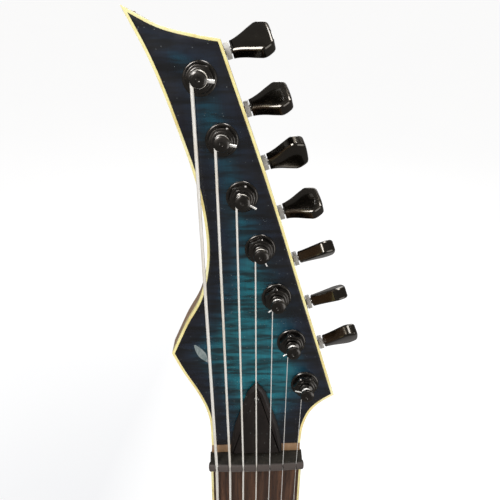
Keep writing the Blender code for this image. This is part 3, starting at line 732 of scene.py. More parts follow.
MATERIALS = {
    "head_face": flamed_maple(
        "head_face",
        (0.0030, 0.0038, 0.0080), (0.0032, 0.0085, 0.018), (0.0012, 0.032, 0.052), (0.0008, 0.084, 0.108),
        figure=(0.035, 0.26), burst=19,
    ),
    "body_face": flamed_maple(
        "body_face",
        (0.0030, 0.0038, 0.0080), (0.0040, 0.014, 0.030), (0.0020, 0.042, 0.072), (0.0012, 0.080, 0.112),
        figure=(0.014, 0.10), burst=62, grain_tilt=14,
    ),
    "neck_wood": wood(
        "neck_wood", (0.37, 0.235, 0.132), (0.285, 0.168, 0.088), (0.19, 0.102, 0.050), gloss=0.34,
        coat=0.25,
    ),
    "body_wood": wood(
        "body_wood", (0.030, 0.022, 0.024), (0.018, 0.014, 0.017), (0.008, 0.007, 0.010), 0.006, 0.12,
        0.22, 1.0, 0.3, 0.01,
    ),
    "rosewood": wood(
        "rosewood", (0.150, 0.060, 0.022), (0.050, 0.020, 0.009), (0.012, 0.006, 0.004), 0.016, 0.42,
        0.55, 0.04, 0.8, 0.05,
    ),
    "binding": binding_cream(),
    "black_metal": plated("black_metal", (0.062, 0.056, 0.050), 0.20, grime=0.75, coat=0.6),
    "button_metal": plated("button_metal", (0.050, 0.043, 0.033), 0.17, grime=0.3, coat=0.9),
    "dark_steel": plated("dark_steel", (0.16, 0.155, 0.15), 0.22),
    "steel": plated("steel", (0.62, 0.60, 0.57), 0.24),
    "chrome": plated("chrome", (0.82, 0.82, 0.83), 0.06, grime=0.2),
    "fret_wire": plated("fret_wire", (0.78, 0.75, 0.68), 0.16, grime=0.3),
    "plain_wire": plated("plain_wire", (0.90, 0.88, 0.84), 0.3, grime=0.2, metallic=0.45),
    "wound_wire": wound_wire(),
    "nut_graphite": nut_graphite(),
    "cover_plastic": moulded(
        "cover_plastic", (0.011, 0.0062, 0.0045), 0.42, coat=0.12, mottle=0.45, dust=0.7
    ),
    "black_plastic": moulded("black_plastic", (0.016, 0.016, 0.017), 0.3, coat=0.3, dust=0.2),
    "white_plastic": moulded("white_plastic", (0.56, 0.55, 0.51), 0.4, coat=0.15, mottle=0.2, dust=0.0),
    "dot_black": moulded("dot_black", (0.012, 0.012, 0.012), 0.3),
    "felt_black": moulded("felt_black", (0.02, 0.02, 0.02), 0.9, coat=0.0, relief=0.12, dust=0.1),
    "pearl": pearl(),
}

# ---------------------------------------------------------------- headstock and neck


def offset_chain(chain, distance):
    """An open chain moved to its left, keeping only what stays clear of it round sharp corners."""
    lefts = normals(chain, closed=False)
    shifted = []
    for i, (point, left) in enumerate(zip(chain, lefts)):
        before = (point - chain[max(i - 1, 0)]).normalized() if i else (chain[1] - point).normalized()
        mitre = max(0.28, left.dot(Vector((-before.y, before.x))))
        shifted.append(point + left * distance / mitre)
    ring = np.array([(p.x, p.y) for p in chain])
    a, span = ring[:-1], ring[1:] - ring[:-1]
    kept = []
    for point in shifted:
        share = np.clip(((np.array(point) - a) * span).sum(axis=1) / (span**2).sum(axis=1), 0, 1)
        gap = np.sqrt(((a + share[:, None] * span - np.array(point)) ** 2).sum(axis=1)).min()
        if gap > distance * 0.97:
            kept.append(point)
    return kept


def band(chain, width):
    """The closed outline of a band that runs inside an open chain."""
    return list(chain) + list(reversed(offset_chain(chain, width)))


def post_centres():
    back = HEAD.inverted()
    return [(back @ tuner.translation).xy for tuner in TUNERS]


def make_headstock():
    chain = head_chain(0.0, 23.15)
    rim = offset_chain(chain, BINDING)
    holes = [moved(circle(POST_HOLE, 40), centre) for centre in post_centres()]
    face = plate(rim, -3.0, 0.0, soften_top=0.12, holes=holes, spacing=1.7, steps=2)
    face = put("headstock_face", face, "head_face", place=HEAD, replaces=["headstock_veneer"])
    mark_edge_distance(face, rim, HEAD)
    edging = plate(band(chain, BINDING - 0.04), -3.0, 0.03, soften_top=0.22)
    put("headstock_binding", edging, "binding", place=HEAD)
    lozenge = smooth(((6.2, 0), (0, 1.9), (-6.2, 0), (0, -1.9), (6.2, 0)), 6)
    place = HEAD @ shift(-26.5, 56, 0) @ turn(-58, "Z")
    put("headstock_inlay", plate(lozenge, -0.4, 0.05, soften_top=0.04), "pearl", place=place)


def neck_section(z):
    """A closed section of the neck below the fingerboard: flat in front, round behind, square at the heel."""
    stations = (-500, -455, -442, -422, -395, -280, -160, -60, 0, 7.3)
    depths = (30, 30, 29.6, 25.4, 23.2, 22.2, 21.3, 20.6, 20.4, 20.1)
    powers = (0.1, 0.1, 0.25, 0.55, 0.8, 0.8, 0.8, 0.8, 0.8, 0.8)
    depth = np.interp(z, stations, depths)
    power = np.interp(z, stations, powers)
    half, top = half_width(z) - 0.06 * max(0, z), NECK_TOP - 0.25
    section = []
    for k in range(31):
        angle = math.pi * k / 30
        across = math.copysign(abs(math.cos(angle)) ** power, math.cos(angle))
        section.append((half * across, top + (depth - top) * math.sin(angle) ** power, z))
    return section


def head_block():
    """The headstock's block, whose back edges round off towards its foot until they sink into the neck."""
    foot_v, blend_v, deepest = -9.5, 22.0, 20.35
    block = plate(head_chain(foot_v, 23.7), -HEAD_THICK, -3.03, soften_low=2.2, steps=5)
    for height in range(-12, -3):
        parts = block.verts[:] + block.edges[:] + block.faces[:]
        bmesh.ops.bisect_plane(block, geom=parts, plane_co=(0, 0, height), plane_no=(0, 0, 1))
    for vert in block.verts:
        share = min(1, max(0, (blend_v - vert.co.y) / (blend_v - foot_v)))
        share = share * share * (3 - 2 * share)
        depth = (HEAD @ Vector((0, vert.co.y, vert.co.z))).y
        depth = min(0.985, max(0, (depth - NECK_TOP) / (deepest - NECK_TOP)))
        narrow = 0.985 * (1 - depth**2.5) ** 0.4
        vert.co.x *= 1 + (narrow - 1) * share
    return block


def make_neck():
    levels = [7.3, 3.5, 0, -10, -20] + list(np.arange(-40, -390, -20))
    levels += list(np.arange(-392, -458, -5)) + [-480, -500]
    neck = put("neck_shaft", loft([neck_section(z) for z in levels]), "neck_wood", replaces=["neck"])
    ledge = vectors((-23.3, -5.0), (23.3, -5.0), (23.3, -0.05), (-23.3, -0.05))
    shelf = plate(ledge, -4.0, -0.3, soften_top=0.2)
    cut(neck, [(head_block(), HEAD), (shelf, HEAD)], "UNION")
    slot = vectors((-3.4, -470), (3.4, -470), (3.4, 36), (-3.4, 36))
    channel = well(slot, -15.8, -5)
    holes = [(well(circle(POST_HOLE, 40), -18, 2), place) for place in TUNERS]
    cut(neck, [(channel, FRONT)] + holes)


def make_fingerboard():
    columns = 14
    levels = list(np.arange(0, -BOARD_END, -13)) + [-BOARD_END]
    rings, left, right = [], [], []
    for z in levels:
        half = half_width(z)
        wood_half = half - BINDING
        across = [wood_half * (2 * k / columns - 1) for k in range(columns + 1)]
        rings.append(
            [(x, crown(x), z) for x in across] + [(wood_half, BOARD_THICK, z), (-wood_half, BOARD_THICK, z)]
        )
        for side, strip in ((-1, left), (1, right)):
            inner, outer = side * (wood_half + 0.02), side * half
            top = crown(outer)
            section = [(inner, crown(inner)), (outer - side * 0.4, top), (outer, top + 0.45)]
            section += [(outer, BOARD_THICK), (inner, BOARD_THICK)]
            strip.append([(x, y, z) for x, y in section])
    put("fingerboard_wood", loft(rings), "rosewood", replaces=["fingerboard"])
    put("neck_binding_bass", loft(left), "binding")
    put("neck_binding_treble", loft(right), "binding")
    wide, low, high = BOARD_END_HALF, -BOARD_END - 1.2, -BOARD_END - 0.02
    end = vectors((-wide, low), (wide, low), (wide, high), (-wide, high))
    edging = plate(end, -BOARD_THICK, -1.1, soften_top=0.3)
    put("neck_binding_end", edging, "binding", place=FRONT)
    for number in range(1, FRETS + 1):
        make_fret(number)
    for number in (3, 5, 7, 9, 12, 15, 17, 19, 21, 24):
        make_markers(number)


def make_fret(number):
    """A half-round crown that follows the fingerboard's radius, with bevelled ends."""
    z, steps = fret_z(number), 12
    half = half_width(z) - 0.35
    rings = []
    for k in range(steps + 1):
        x = half * (2 * k / steps - 1)
        lean = 0.35 if k in (0, steps) else 1.0
        section = []
        for m in range(9):
            angle = math.pi * m / 8
            section.append((x, crown(x) + 0.02 - 1.12 * lean * math.sin(angle), z + 1.2 * math.cos(angle)))
        rings.append(section)
    put(f"fret_{number:02d}", loft(rings), "fret_wire", sharp=50)


def make_markers(number):
    """Pearl dots between the frets, two at the octaves, and a small dark dot on the edge."""
    z = (fret_z(number) + fret_z(number - 1)) / 2
    places = (-11, 11) if number % 12 == 0 else (0,)
    for side, x in enumerate(places):
        dot = turned(rounded(3.1, -0.6, 0.03, 0.03, 2))
        lean = shift(x, crown(x), z) @ along((x / BOARD_RADIUS, -1, 0), (0, 0, 0))
        put(f"marker_{number:02d}_{side + 1}", dot, "pearl", place=lean)
    place = along((-1, 0, 0), (-half_width(z), 3.2, z))
    put(f"side_dot_{number:02d}", turned(rounded(1.0, -0.4, 0.03, 0.03, 2), 24), "dot_black", place=place)


def make_nut():
    """A block that slopes back to the headstock, with a round crest bar that stands just past the neck."""
    slope = ((0.1, 6), (7.3, 6), (7.36, 4.85), (6.9, 2.6), (6.1, -0.4), (5.4, -1.0), (0.1, -1.0))
    crest = [
        (2.85 + 2.75 * math.cos(a), -0.55 - 2.3 * math.sin(a)) for a in np.linspace(-0.5, math.pi + 0.5, 18)
    ]
    block, bar = [], []
    for k in range(13):
        x = 24.1 * (k / 6 - 1)
        block.append([(x, y + (crown(x) if y < 0 else 0), z) for z, y in slope])
    for x, squeeze in (
        (-24.95, 0.45), (-24.75, 0.8), (-24.3, 1.0), (-12, 1.0), (0, 1.0), (12, 1.0), (24.3, 1.0),
        (24.75, 0.8), (24.95, 0.45),
    ):
        bar.append(
            [(x, -0.9 + (y + 0.9) * squeeze + crown(x), 2.85 + (z - 2.85) * squeeze) for z, y in crest]
        )
    nut = put("nut_body", loft(block), "nut_graphite", replaces=["nut"])
    cut(nut, [(loft(bar), HERE)], "UNION")
    slots = []
    for index, radius in enumerate(STRING_RADII):
        x = string_x(index, 0)
        y = string_y(x, 0)
        wide = radius + 0.08
        route = [Vector((x, y, -1)), Vector((x, y, NUT_CREST)), Vector((x, y + 1.8, 12))]
        slots.append((tube(route, wide, 14), HERE))
        above = vectors((x - wide, -1), (x + wide, -1), (x + wide, 12), (x - wide, 12))
        slots.append((well(above, -y, 7), FRONT))
    cut(nut, slots)


def make_truss_cover():
    half = smooth(((13.5, -4.4), (13.3, 0), (12.6, 5), (10.6, 15), (7.3, 25), (4.4, 34), (0.5, 39.3)), 8)
    outline = half + vectors((0.5, 39.3), (-0.5, 39.3)) + [Vector((-p.x, p.y)) for p in reversed(half)]
    inner = inset(outline, 1.5)
    layers = [
        (outline, 0.3), (outline, 1.35), (inset(outline, 0.08), 1.45), (inset(outline, 1.42), 2.5),
        (inner, 2.55),
    ]
    put(
        "truss_cover_plate", prism(layers), "cover_plastic", place=HEAD, sharp=18,
        replaces=["truss_rod_cover"],
    )
    make_screw("truss_cover_screw", 1.5, 0.7, HEAD @ shift(0, 30.6, 2.5), "dark_steel")


def make_screw(name, radius, dome, place, material="black_metal", shank=6.0, turn_by=20):
    """A domed cross-head screw with its shank."""
    profile = [(0.3, -shank), (radius * 0.45, -shank + 1.2), (radius * 0.45, 0.0)]
    for k in range(7):
        angle = math.pi / 2 * k / 6
        profile.append((radius * math.cos(angle) if k < 6 else 0.02, 0.25 + dome * math.sin(angle)))
    profile.insert(3, (radius, 0.02))
    place = place @ turn(turn_by, "Z")
    head = put(name, turned(profile, 32), material, place=place)
    arm, reach = radius * 0.13, radius * 0.62
    cross = []
    for sx, sy in ((1, 1), (-1, 1), (-1, -1), (1, -1)):
        near, far = Vector((sx * arm, sy * reach)), Vector((sx * reach, sy * arm))
        middle = Vector((sx * arm, sy * arm))
        cross += [far, middle, near] if sx * sy > 0 else [near, middle, far]
    floor = 0.25 + dome * 0.25
    recess = prism([([p * 0.75 for p in cross], floor), (cross, 0.25 + dome * 1.2)])
    return cut(head, [(recess, place)])


# ---------------------------------------------------------------- tuning machines

STUB_ANGLES = (-8, -12, -28, -62, -140, -152, 162)
STUB_LENGTHS = (6.2, 6.0, 6.6, 5.6, 5.4, 5.2, 6.0)
TURNS = (1.2, 1.4, 1.7, 2.2, 2.9, 3.4, 3.9)
WAIST = 2.0
FIRST_TURN = 6.95


def post_mesh():
    """The string post with its worm wheel: a ring of teeth below, then a flange, a waist and a domed cap."""
    segments = 112
    foot = -SHAFT_DEPTH - 1.6
    teeth = []
    for k in range(segments):
        angle = 2 * math.pi * k / segments
        wave = math.cos(WORM_TEETH * (angle - math.pi / 2))
        teeth.append(4.06 + 0.6 * max(-1, min(1, 1.6 * wave)))
    levels = [
        (None, foot), (None, foot + 3.2), (3.0, foot + 3.25), (3.0, 5.45), (3.3, 5.55), (3.3, 6.0),
        (3.1, 6.15), (WAIST + 0.1, 6.45), (WAIST, 6.8), (WAIST, 8.7), (2.8, 9.1), (3.2, 9.4),
        (3.3, 9.7), (3.3, 10.4), (3.15, 10.75), (2.7, 11.0), (1.9, 11.15), (1.0, POST_TOP),
        (0.9, 11.05), (0.5, 10.9),
    ]
    return loft([ring_of([radius] * segments if radius else teeth, height) for radius, height in levels])


def hex_nut_mesh():
    """A hex nut with cut-back corners under a narrow threaded collar."""
    sizes = ((10.4, 5.45, 1.22), (10.4, 5.85, 1.6), (10.4, 5.85, 3.6), (10.4, 5.3, 4.1), (9.9, 4.95, 4.22))
    bore = (
        (4.3, 4.25), (4.3, 4.6), (4.1, 4.7), (4.3, 4.82), (4.3, 5.05), (3.95, 5.2), (3.35, 5.2),
        (3.35, 1.22),
    )
    rings = [hex_ring(*size) for size in sizes]
    rings += [[(p.x, p.y, height) for p in circle(radius, 72)] for radius, height in bore]
    return loft(rings, loop=True)


def washer_mesh():
    profile = [
        (4.9, 0.05), (WASHER_RADIUS - 0.1, 0.05), (WASHER_RADIUS, 0.25), (WASHER_RADIUS, 0.7),
        (WASHER_RADIUS - 0.25, 1.02), (WASHER_RADIUS - 0.7, 1.18), (WASHER_RADIUS - 1.1, 1.12),
        (5.3, 1.12), (4.9, 1.0),
    ]
    return turned(profile, 72, loop=True)


def bush_mesh():
    back = -HEAD_THICK - 0.3
    profile = [(3.32, back), (4.65, back), (4.65, 0.0), (4.2, 0.4), (4.2, 1.2), (3.32, 1.2)]
    return turned(profile, 48, loop=True)


def case_mesh():
    """The gear case: a softened block with a raised lid and the snout that carries the button's shaft."""
    back = -HEAD_THICK - 0.25
    outline = moved(rounded_box(7.6, 9.0, 2.8, 5), (0.2, 1.6))
    return plate(outline, back - 13, back, soften_low=1.6, soften_top=0.4)


def button_mesh():
    """A flared wedge with a flat broad face, chamfered rims and a waisted root."""
    side = smooth(((15.4, 3.3), (17.5, 3.75), (20.5, 4.9), (24, 6.7), (27.2, 8.25)), 5)
    side += smooth(
        ((27.2, 8.25), (28.4, 8.35), (30.2, 7.9), (32.6, 6.6), (33.4, 5.2), (33.6, 2.5), (33.65, 0)), 4
    )
    outline = [Vector((p.x, -p.y)) for p in side] + [Vector((33.65, 0))] + list(reversed(side))
    rings = []
    for back, height in (
        (1.5, -1.0), (0.9, -0.96), (0.28, -0.84), (0.0, -0.66), (0.0, 0.66), (0.28, 0.84),
        (0.9, 0.96), (1.5, 1.0),
    ):
        ring = []
        for p in inset(outline, back):
            thick = 2.75 + 0.45 * (min(max(p.x, 15), 30) - 15) / 15
            ring.append((p.x, p.y, height * thick))
        rings.append(ring)
    return loft(rings)


def shaft_mesh():
    """The button's shaft with its worm thread cut as a ridge that winds round it."""
    lead, rings = math.pi * 0.6, []
    levels = np.arange(-4.6, 4.61, lead / 8)
    for x in levels:
        ring = []
        for k in range(32):
            angle = 2 * math.pi * k / 32
            # The ridge crosses the wheel's side, at local -y, half a lead from the wheel's middle tooth.
            phase = x / lead - 0.5 - (math.pi - angle) / (2 * math.pi)
            away = abs((phase + 0.5) % 1 - 0.5) * lead
            radius = 1.5 + 1.05 * max(0, min(1, (0.62 - away) / 0.38))
            ring.append((x, radius * math.cos(angle), radius * math.sin(angle)))
        rings.append(ring)
    rings += [[(x, p.x, p.y) for p in circle(1.55, 32)] for x in (4.7, 15.5)]
    return loft(rings)


def make_tuner(index):
    number, place = index + 1, TUNERS[index]
    post_body, button_body = f"tuner_post_{number}", f"tuner_button_{number}"
    spin = BUTTON_SPINS[index]
    shaft_place = place @ shift(0, SHAFT_OFFSET, -SHAFT_DEPTH)
    out_along = shaft_place @ turn(90, "Y")
    case = put(f"tuner_case_{number}", case_mesh(), place=place, replaces=[f"tuner_housing_{number}"])
    snout = turned(rounded(3.5, 4, 12.55, 0.5), 40)
    room = [
        (well(circle(5.3, 40), -2.7, 2.7), place @ shift(0, 0, -SHAFT_DEPTH)),
        (well(circle(3.1, 24), -5.3, 5.3), out_along),
        (well(circle(1.75, 24), 0, 14), out_along),
        (well(circle(3.3, 24), -SHAFT_DEPTH, 0), place),
    ]
    cut(case, [(snout, out_along)], "UNION")
    cut(case, room)
    lid_place = place @ shift(0.2, -0.6, -HEAD_THICK - 13.2) @ turn(180, "X")
    put(f"tuner_lid_{number}", plate(rounded_box(5.6, 5.6, 5.5, 10), 0, 0.7, soften_top=0.5), place=lid_place)
    make_screw(
        f"tuner_gear_screw_{number}", 2.0, 0.7, lid_place @ shift(0, 0, 0.65), shank=1.5, turn_by=30 * index
    )
    put(f"tuner_bush_{number}", bush_mesh(), "dark_steel", place=place)
    put(f"tuner_washer_{number}", washer_mesh(), place=place)
    put(f"tuner_nut_{number}", hex_nut_mesh(), place=place @ turn(11 * index + 4, "Z"), sharp=25)
    settled = place @ turn(-spin / WORM_TEETH, "Z")
    put(f"tuner_spindle_{number}", post_mesh(), body=post_body, place=settled, replaces=[post_body])
    collar = turned(
        [(1.85, 12.75), (3.45, 12.75), (3.6, 12.9), (3.6, 14.7), (3.45, 14.95), (1.85, 14.95)],
        40,
        loop=True,
    )
    put(f"button_washer_{number}", collar, "white_plastic", place=out_along)
    spun = shaft_place @ turn(spin, "X")
    grip = button_mesh()
    put(f"button_grip_{number}", grip, "button_metal", button_body, spun, sharp=24, replaces=[button_body])
    put(f"button_shaft_{number}", shaft_mesh(), "steel", button_body, spun)


# ---------------------------------------------------------------- strings


def string_reach(radius):
    """How far a string's middle stands from its post's middle."""
    return WAIST + radius + 0.03


def string_contact(index):
    """Where a string first touches its post's waist, the angle of that point there, and the post's frame."""
    place, radius = TUNERS[index], STRING_RADII[index]
    x = string_x(index, 0)
    toward = place.inverted() @ Vector((x, string_y(x, 0), NUT_CREST))
    reach = string_reach(radius)
    angle = math.atan2(toward.y, toward.x) - math.acos(reach / math.hypot(toward.x, toward.y))
    return place @ Vector((reach * math.cos(angle), reach * math.sin(angle), FIRST_TURN)), angle, place


def bend(before, corner, after, radius):
    """Points along a rounded corner of a route."""
    start = corner + (before - corner).normalized() * radius
    end = corner + (after - corner).normalized() * radius
    return [start.lerp(corner, t).lerp(corner.lerp(end, t), t) for t in (k / 6 for k in range(7))]


def lip_hole_y(x):
    return -1.6 + crown(x)


def string_route(index):
    """From behind the bridge's rear lip over the saddle and the nut to the post."""
    x = string_x(index, -SCALE)
    lip_y, low = lip_hole_y(x), PLATE_Z[0]
    saddle_y = string_y(x, -SCALE)
    anchor = Vector((x, lip_y, low - 3))
    lip = Vector((x, lip_y, low + 5))
    bridge = Vector((x, saddle_y, -SCALE - COMPENSATION[index] - 1.4))
    nut_x = string_x(index, 0)
    nut = Vector((nut_x, string_y(nut_x, 0), NUT_CREST))
    contact = string_contact(index)[0]
    route = [anchor] + bend(anchor, lip, bridge, 1.5) + bend(lip, bridge, nut, 1.8)
    front = bend(bridge, nut, contact, 1.6)
    route += [route[-1].lerp(front[0], t) for t in (k / 24 for k in range(1, 24))] + front
    route += [front[-1].lerp(contact, t) for t in (k / 8 for k in range(1, 9))]
    return route


def make_string(index):
    number, radius = index + 1, STRING_RADII[index]
    material = "wound_wire" if index < 4 else "plain_wire"
    put(
        f"string_wire_{number}", tube(string_route(index), radius, 12), material,
        replaces=[f"string_{number}"],
    )
    _, start, place = string_contact(index)
    reach, turns = string_reach(radius), TURNS[index]
    steps = int(28 * turns)
    coil = []
    for k in range(steps + 1):
        angle = start - 2 * math.pi * turns * k / steps
        height = FIRST_TURN + 2.08 * radius * turns * k / steps
        coil.append(Vector((reach * math.cos(angle), reach * math.sin(angle), min(height, 8.85 - radius))))
    put(
        f"string_turns_{number}", tube(coil, radius, 12, up=(0, 0, 1)), material, f"tuner_post_{number}",
        place,
    )
    back = HEAD.inverted() @ place
    lean = math.atan2(back.to_3x3()[1][0], back.to_3x3()[0][0])
    angle = math.radians(STUB_ANGLES[index]) - lean
    way = Vector((math.cos(angle), math.sin(angle), 0))
    length = STUB_LENGTHS[index]
    stub = [way * out + Vector((0, 0, h)) for out, h in ((1.5, 8.3), (length - 0.1, 8.5), (length, 8.5))]
    put(
        f"string_end_{number}", tube(stub, max(radius, 0.3), 12, up=(0, 0, 1)), "plain_wire",
        f"tuner_post_{number}", place,
    )


# ---------------------------------------------------------------- body


def neck_notch():
    """The neck pocket's corners, from the treble side to the bass side."""
    wide = half_width(POCKET_END) + 0.35
    treble, bass = (TREBLE_NOTCH[0], TREBLE_NOTCH[1] - BINDING), (BASS_NOTCH[0], BASS_NOTCH[1] - BINDING)
    return vectors(treble, (wide, POCKET_END), (-wide, POCKET_END), bass)


def control_outline(spread):
    """The back control cavity in x and z, grown by spread."""
    corners = (
        (56, -662), (66, -646), (96, -638), (122, -644), (132, -672), (133, -704), (122, -724),
        (92, -729), (64, -702),
    )
    return inset(list(reversed(smooth(corners + corners[:1], 8))), -spread)


def pickup_outline(z):
    return moved(rounded_box(43.2, 19, 3), (0, z))


def make_body_top():
    chain = body_chain()
    rim = offset_chain(chain, BINDING)
    holes = [pickup_outline(z) for z in (NECK_PICKUP_Z, BRIDGE_PICKUP_Z)]
    holes += [moved(circle(5.1, 32), at) for at in (VOLUME_AT, TONE_AT, SWITCH_AT)]
    top = plate(rim + neck_notch(), TOP_BACK, -BODY_FRONT, soften_top=0.15, holes=holes, spacing=4.5, steps=2)
    top = put("body_top", top, "body_face", place=FRONT, replaces=["maple_top"])
    mark_edge_distance(top, rim, FRONT)
    edging = plate(band(chain, BINDING - 0.04), TOP_BACK, 0.03 - BODY_FRONT, soften_top=0.9)
    put("body_binding", edging, "binding", place=FRONT)


def make_body_back():
    heel = [Vector((30, -483))]
    for side, start in ((23, 0), (-23, 90)):
        for k in range(9):
            angle = math.radians(start + 90 * k / 8)
            heel.append(Vector((side + 7 * math.cos(angle), -439 + 7 * math.sin(angle))))
    heel.append(Vector((-30, -451.5)))
    blank = plate(body_chain() + heel, -BODY_BACK, TOP_BACK - 0.05, soften_low=4.5, steps=6)
    back = put("body_back", blank, "body_wood", place=FRONT, replaces=["body"])
    start = -425
    narrow, wide = half_width(start) + 0.35, half_width(POCKET_END) + 0.35
    pocket = vectors((-wide, POCKET_END), (wide, POCKET_END), (narrow, start), (-narrow, start))
    rooms = [well(pocket, -HEEL_DEPTH - 0.3, 0)]
    rooms += [well(pickup_outline(z), -24, 0) for z in (NECK_PICKUP_Z, BRIDGE_PICKUP_Z)]
    rooms.append(well(control_outline(0), -BODY_BACK - 1, TOP_BACK + 1))
    rooms.append(well(control_outline(5), -BODY_BACK - 1, 2.1 - BODY_BACK))
    jack = along((1, 0, 0), JACK_AT)
    cut(back, [(room, FRONT) for room in rooms])
    cut(back, [(well(circle(11.4, 48), -3, 12), jack), (well(circle(8.4, 32), -52, 0), jack)])


def make_back_hardware():
    outline = control_outline(4.7)
    back = FRONT @ turn(180, "Y")
    cover = plate(
        [Vector((-p.x, p.y)) for p in reversed(outline)], BODY_BACK - 1.8, BODY_BACK, soften_top=0.35
    )
    put("control_cover_plate", cover, "black_plastic", place=back, replaces=["control_cover"])
    for number, share in enumerate((0.03, 0.22, 0.42, 0.60, 0.82)):
        at = inset(outline, 2.9)[int(share * len(outline))]
        make_screw(
            f"cover_screw_{number + 1}", 1.7, 0.5, back @ shift(-at.x, at.y, BODY_BACK - 0.15), shank=5,
            turn_by=40 * number,
        )
    plate_back = BODY_BACK + 0.3
    outline = moved(rounded_box(25.5, 32, 3.5), (0, -472))
    holes = [moved(circle(2.7, 24), (x, z)) for x in (-19, 19) for z in (-497, -447)]
    steel = plate(outline, plate_back - 0.28, plate_back + 1.8, soften_top=0.5, holes=holes)
    put("neck_plate_steel", steel, place=back, replaces=["neck_plate"])
    for number, (x, z) in enumerate(((-19, -497), (19, -497), (19, -447), (-19, -447))):
        make_screw(
            f"neck_screw_{number + 1}", 4.1, 1.4, back @ shift(x, z, plate_back + 1.7), shank=12,
            turn_by=25 * number,
        )
    for name, at, out in (("upper", (-103, 30, -356.9), (0, 0, 1)), ("lower", (0, 30, -823.6), (0, 0, -1))):
        place = along(out, at)
        felt = turned([(3, 0.0), (7.0, 0.0), (7.2, 0.25), (7.2, 0.7), (7.0, 0.95), (3, 0.95)], 40, loop=True)
        put(f"strap_felt_{name}", felt, "felt_black", place=place)
        profile = [
            (2.2, 1.0), (5.6, 1.0), (5.6, 1.6), (4.4, 2.6), (3.7, 4.0), (3.6, 6.4), (4.0, 8.4),
            (5.2, 9.9), (6.7, 10.7), (7.0, 11.1), (7.0, 12.2), (6.7, 12.7), (6.2, 12.95),
            (4.6, 12.95), (3.2, 11.6), (2.2, 11.6),
        ]
        put(
            f"strap_knob_{name}", turned(profile, 48, loop=True), place=place,
            replaces=[f"strap_button_{name}"],
        )
        make_screw(f"strap_screw_{name}", 2.9, 1.1, place @ shift(0, 0, 11.3), shank=11)


# ---------------------------------------------------------------- bridge and pickups


def make_bridge():
    base_top = BODY_FRONT - 0.3 - 2.5
    middle = (PLATE_Z[0] + PLATE_Z[1]) / 2
    base = plate(moved(rounded_box(41, 18, 2.5), (0, middle)), -BODY_FRONT + 0.02, -base_top, soften_top=0.5)
    bridge = put("bridge_base", base, place=FRONT, replaces=["bridge_plate"])
    lip_outline = moved(rounded_box(41, 4.7, 1.6, 4), (0, 1.3))
    holes, screw_holes = [], []
    for index, radius in enumerate(STRING_RADII):
        x = string_x(index, -SCALE)
        holes.append(moved(circle(radius + 0.25, 20), (x, lip_hole_y(x))))
        screw_holes.append(moved(circle(1.25, 20), (x, SCREW_Y)))
    lip = plate(lip_outline, PLATE_Z[0], PLATE_Z[0] + 4, soften_top=0.6, holes=holes + screw_holes)
    cut(bridge, [(lip, HERE)], "UNION")
    for number, x in enumerate((-27, -5.4, 5.4, 27)):
        make_screw(
            f"bridge_screw_{number + 1}", 2.3, 1.1, FRONT @ shift(x, -669.5, -base_top), shank=9,
            turn_by=35 * number,
        )
    for index in range(STRINGS):
        make_saddle(index, base_top)


def make_saddle(index, base_top):
    """A saddle with its grooved crest, height screws, intonation screw, spring and string ball."""
    number, radius = index + 1, STRING_RADII[index]
    body = f"saddle_{number}"
    x, at = string_x(index, -SCALE), -SCALE - COMPENSATION[index]
    line = string_y(x, -SCALE)
    crest = line + radius * 0.35
    side = [
        (2.6, base_top - 0.3), (-11, base_top - 0.3), (-11, 1.6), (-10.4, 1.0), (-8.6, 0.7),
        (-5.0, crest + 2.0), (-2.6, crest + 0.5), (-1.2, crest), (0.9, crest), (2.0, crest + 0.5),
        (2.7, crest + 1.5), (3.0, crest + 2.8),
    ]
    centre = Vector((-3.5, 2.2))
    rings = []
    for across, shrink in ((-5.1, 0.93), (-4.95, 0.975), (-4.6, 1.0), (4.6, 1.0), (4.95, 0.975), (5.1, 0.93)):
        drawn = [(centre.x + (z - centre.x) * shrink, centre.y + (y - centre.y) * shrink) for z, y in side]
        rings.append([(x + across, y, at + z) for z, y in drawn])
    saddle = put(
        f"saddle_block_{number}", loft(rings), "steel", body, sharp=30, replaces=[f"saddle_{number}"]
    )
    bore = well(circle(1.2, 20), -16, 9)
    # The groove's floor falls back more steeply than the string, so the saddle can slide under it.
    route = [
        Vector((x, line + 3.5, at - 14)), Vector((x, line + 0.2, at + 0.9)), Vector((x, line + 0.2, at + 6))
    ]
    groove = tube(route, radius + 0.2, 14)
    cut(saddle, [(bore, shift(x, SCREW_Y, at)), (groove, HERE)])
    for side_number, across in enumerate((-3.1, 3.1)):
        grub = turned(
            [(0.7, -2.0), (1.15, -2.0), (1.25, -1.9), (1.25, 0.9), (1.1, 1.05), (0.7, 1.05)], 24, loop=True
        )
        put(
            f"height_screw_{number}_{side_number + 1}", grub, "dark_steel", body,
            FRONT @ shift(x + across, at - 4.2, -crest - 1.7),
        )
    rear = PLATE_Z[0]
    rod = [
        (0.02, rear - 0.9), (1.7, rear - 0.9), (1.9, rear - 0.7), (1.9, rear - 0.1),
        (1.0, rear - 0.02), (1.0, at - 4), (0.02, at - 3.9),
    ]
    put(f"intonation_screw_{number}", turned(rod, 24), "dark_steel", place=shift(x, SCREW_Y, 0))
    foot, top, coil, steps = rear + 4.3, at - 15.2, 1.55, 64
    spring = []
    for k in range(steps + 1):
        angle = 2 * math.pi * k / 16
        height = foot + (top - foot) * k / steps
        spring.append(Vector((x + coil * math.cos(angle), SCREW_Y + coil * math.sin(angle), height)))
    put(f"saddle_spring_{number}", tube(spring, 0.22, 8, up=(0, 0, 1)), "steel")
    ball = turned(
        [
            (radius + 0.1, -1.4), (1.3, -1.4), (1.75, -1.1), (1.45, 0), (1.75, 1.1), (1.3, 1.4),
            (radius + 0.1, 1.4),
        ],
        28,
        loop=True,
    )
    put(
        f"string_ball_{number}", ball, "fret_wire", place=shift(x, lip_hole_y(x), PLATE_Z[0] - 1.45),
    )


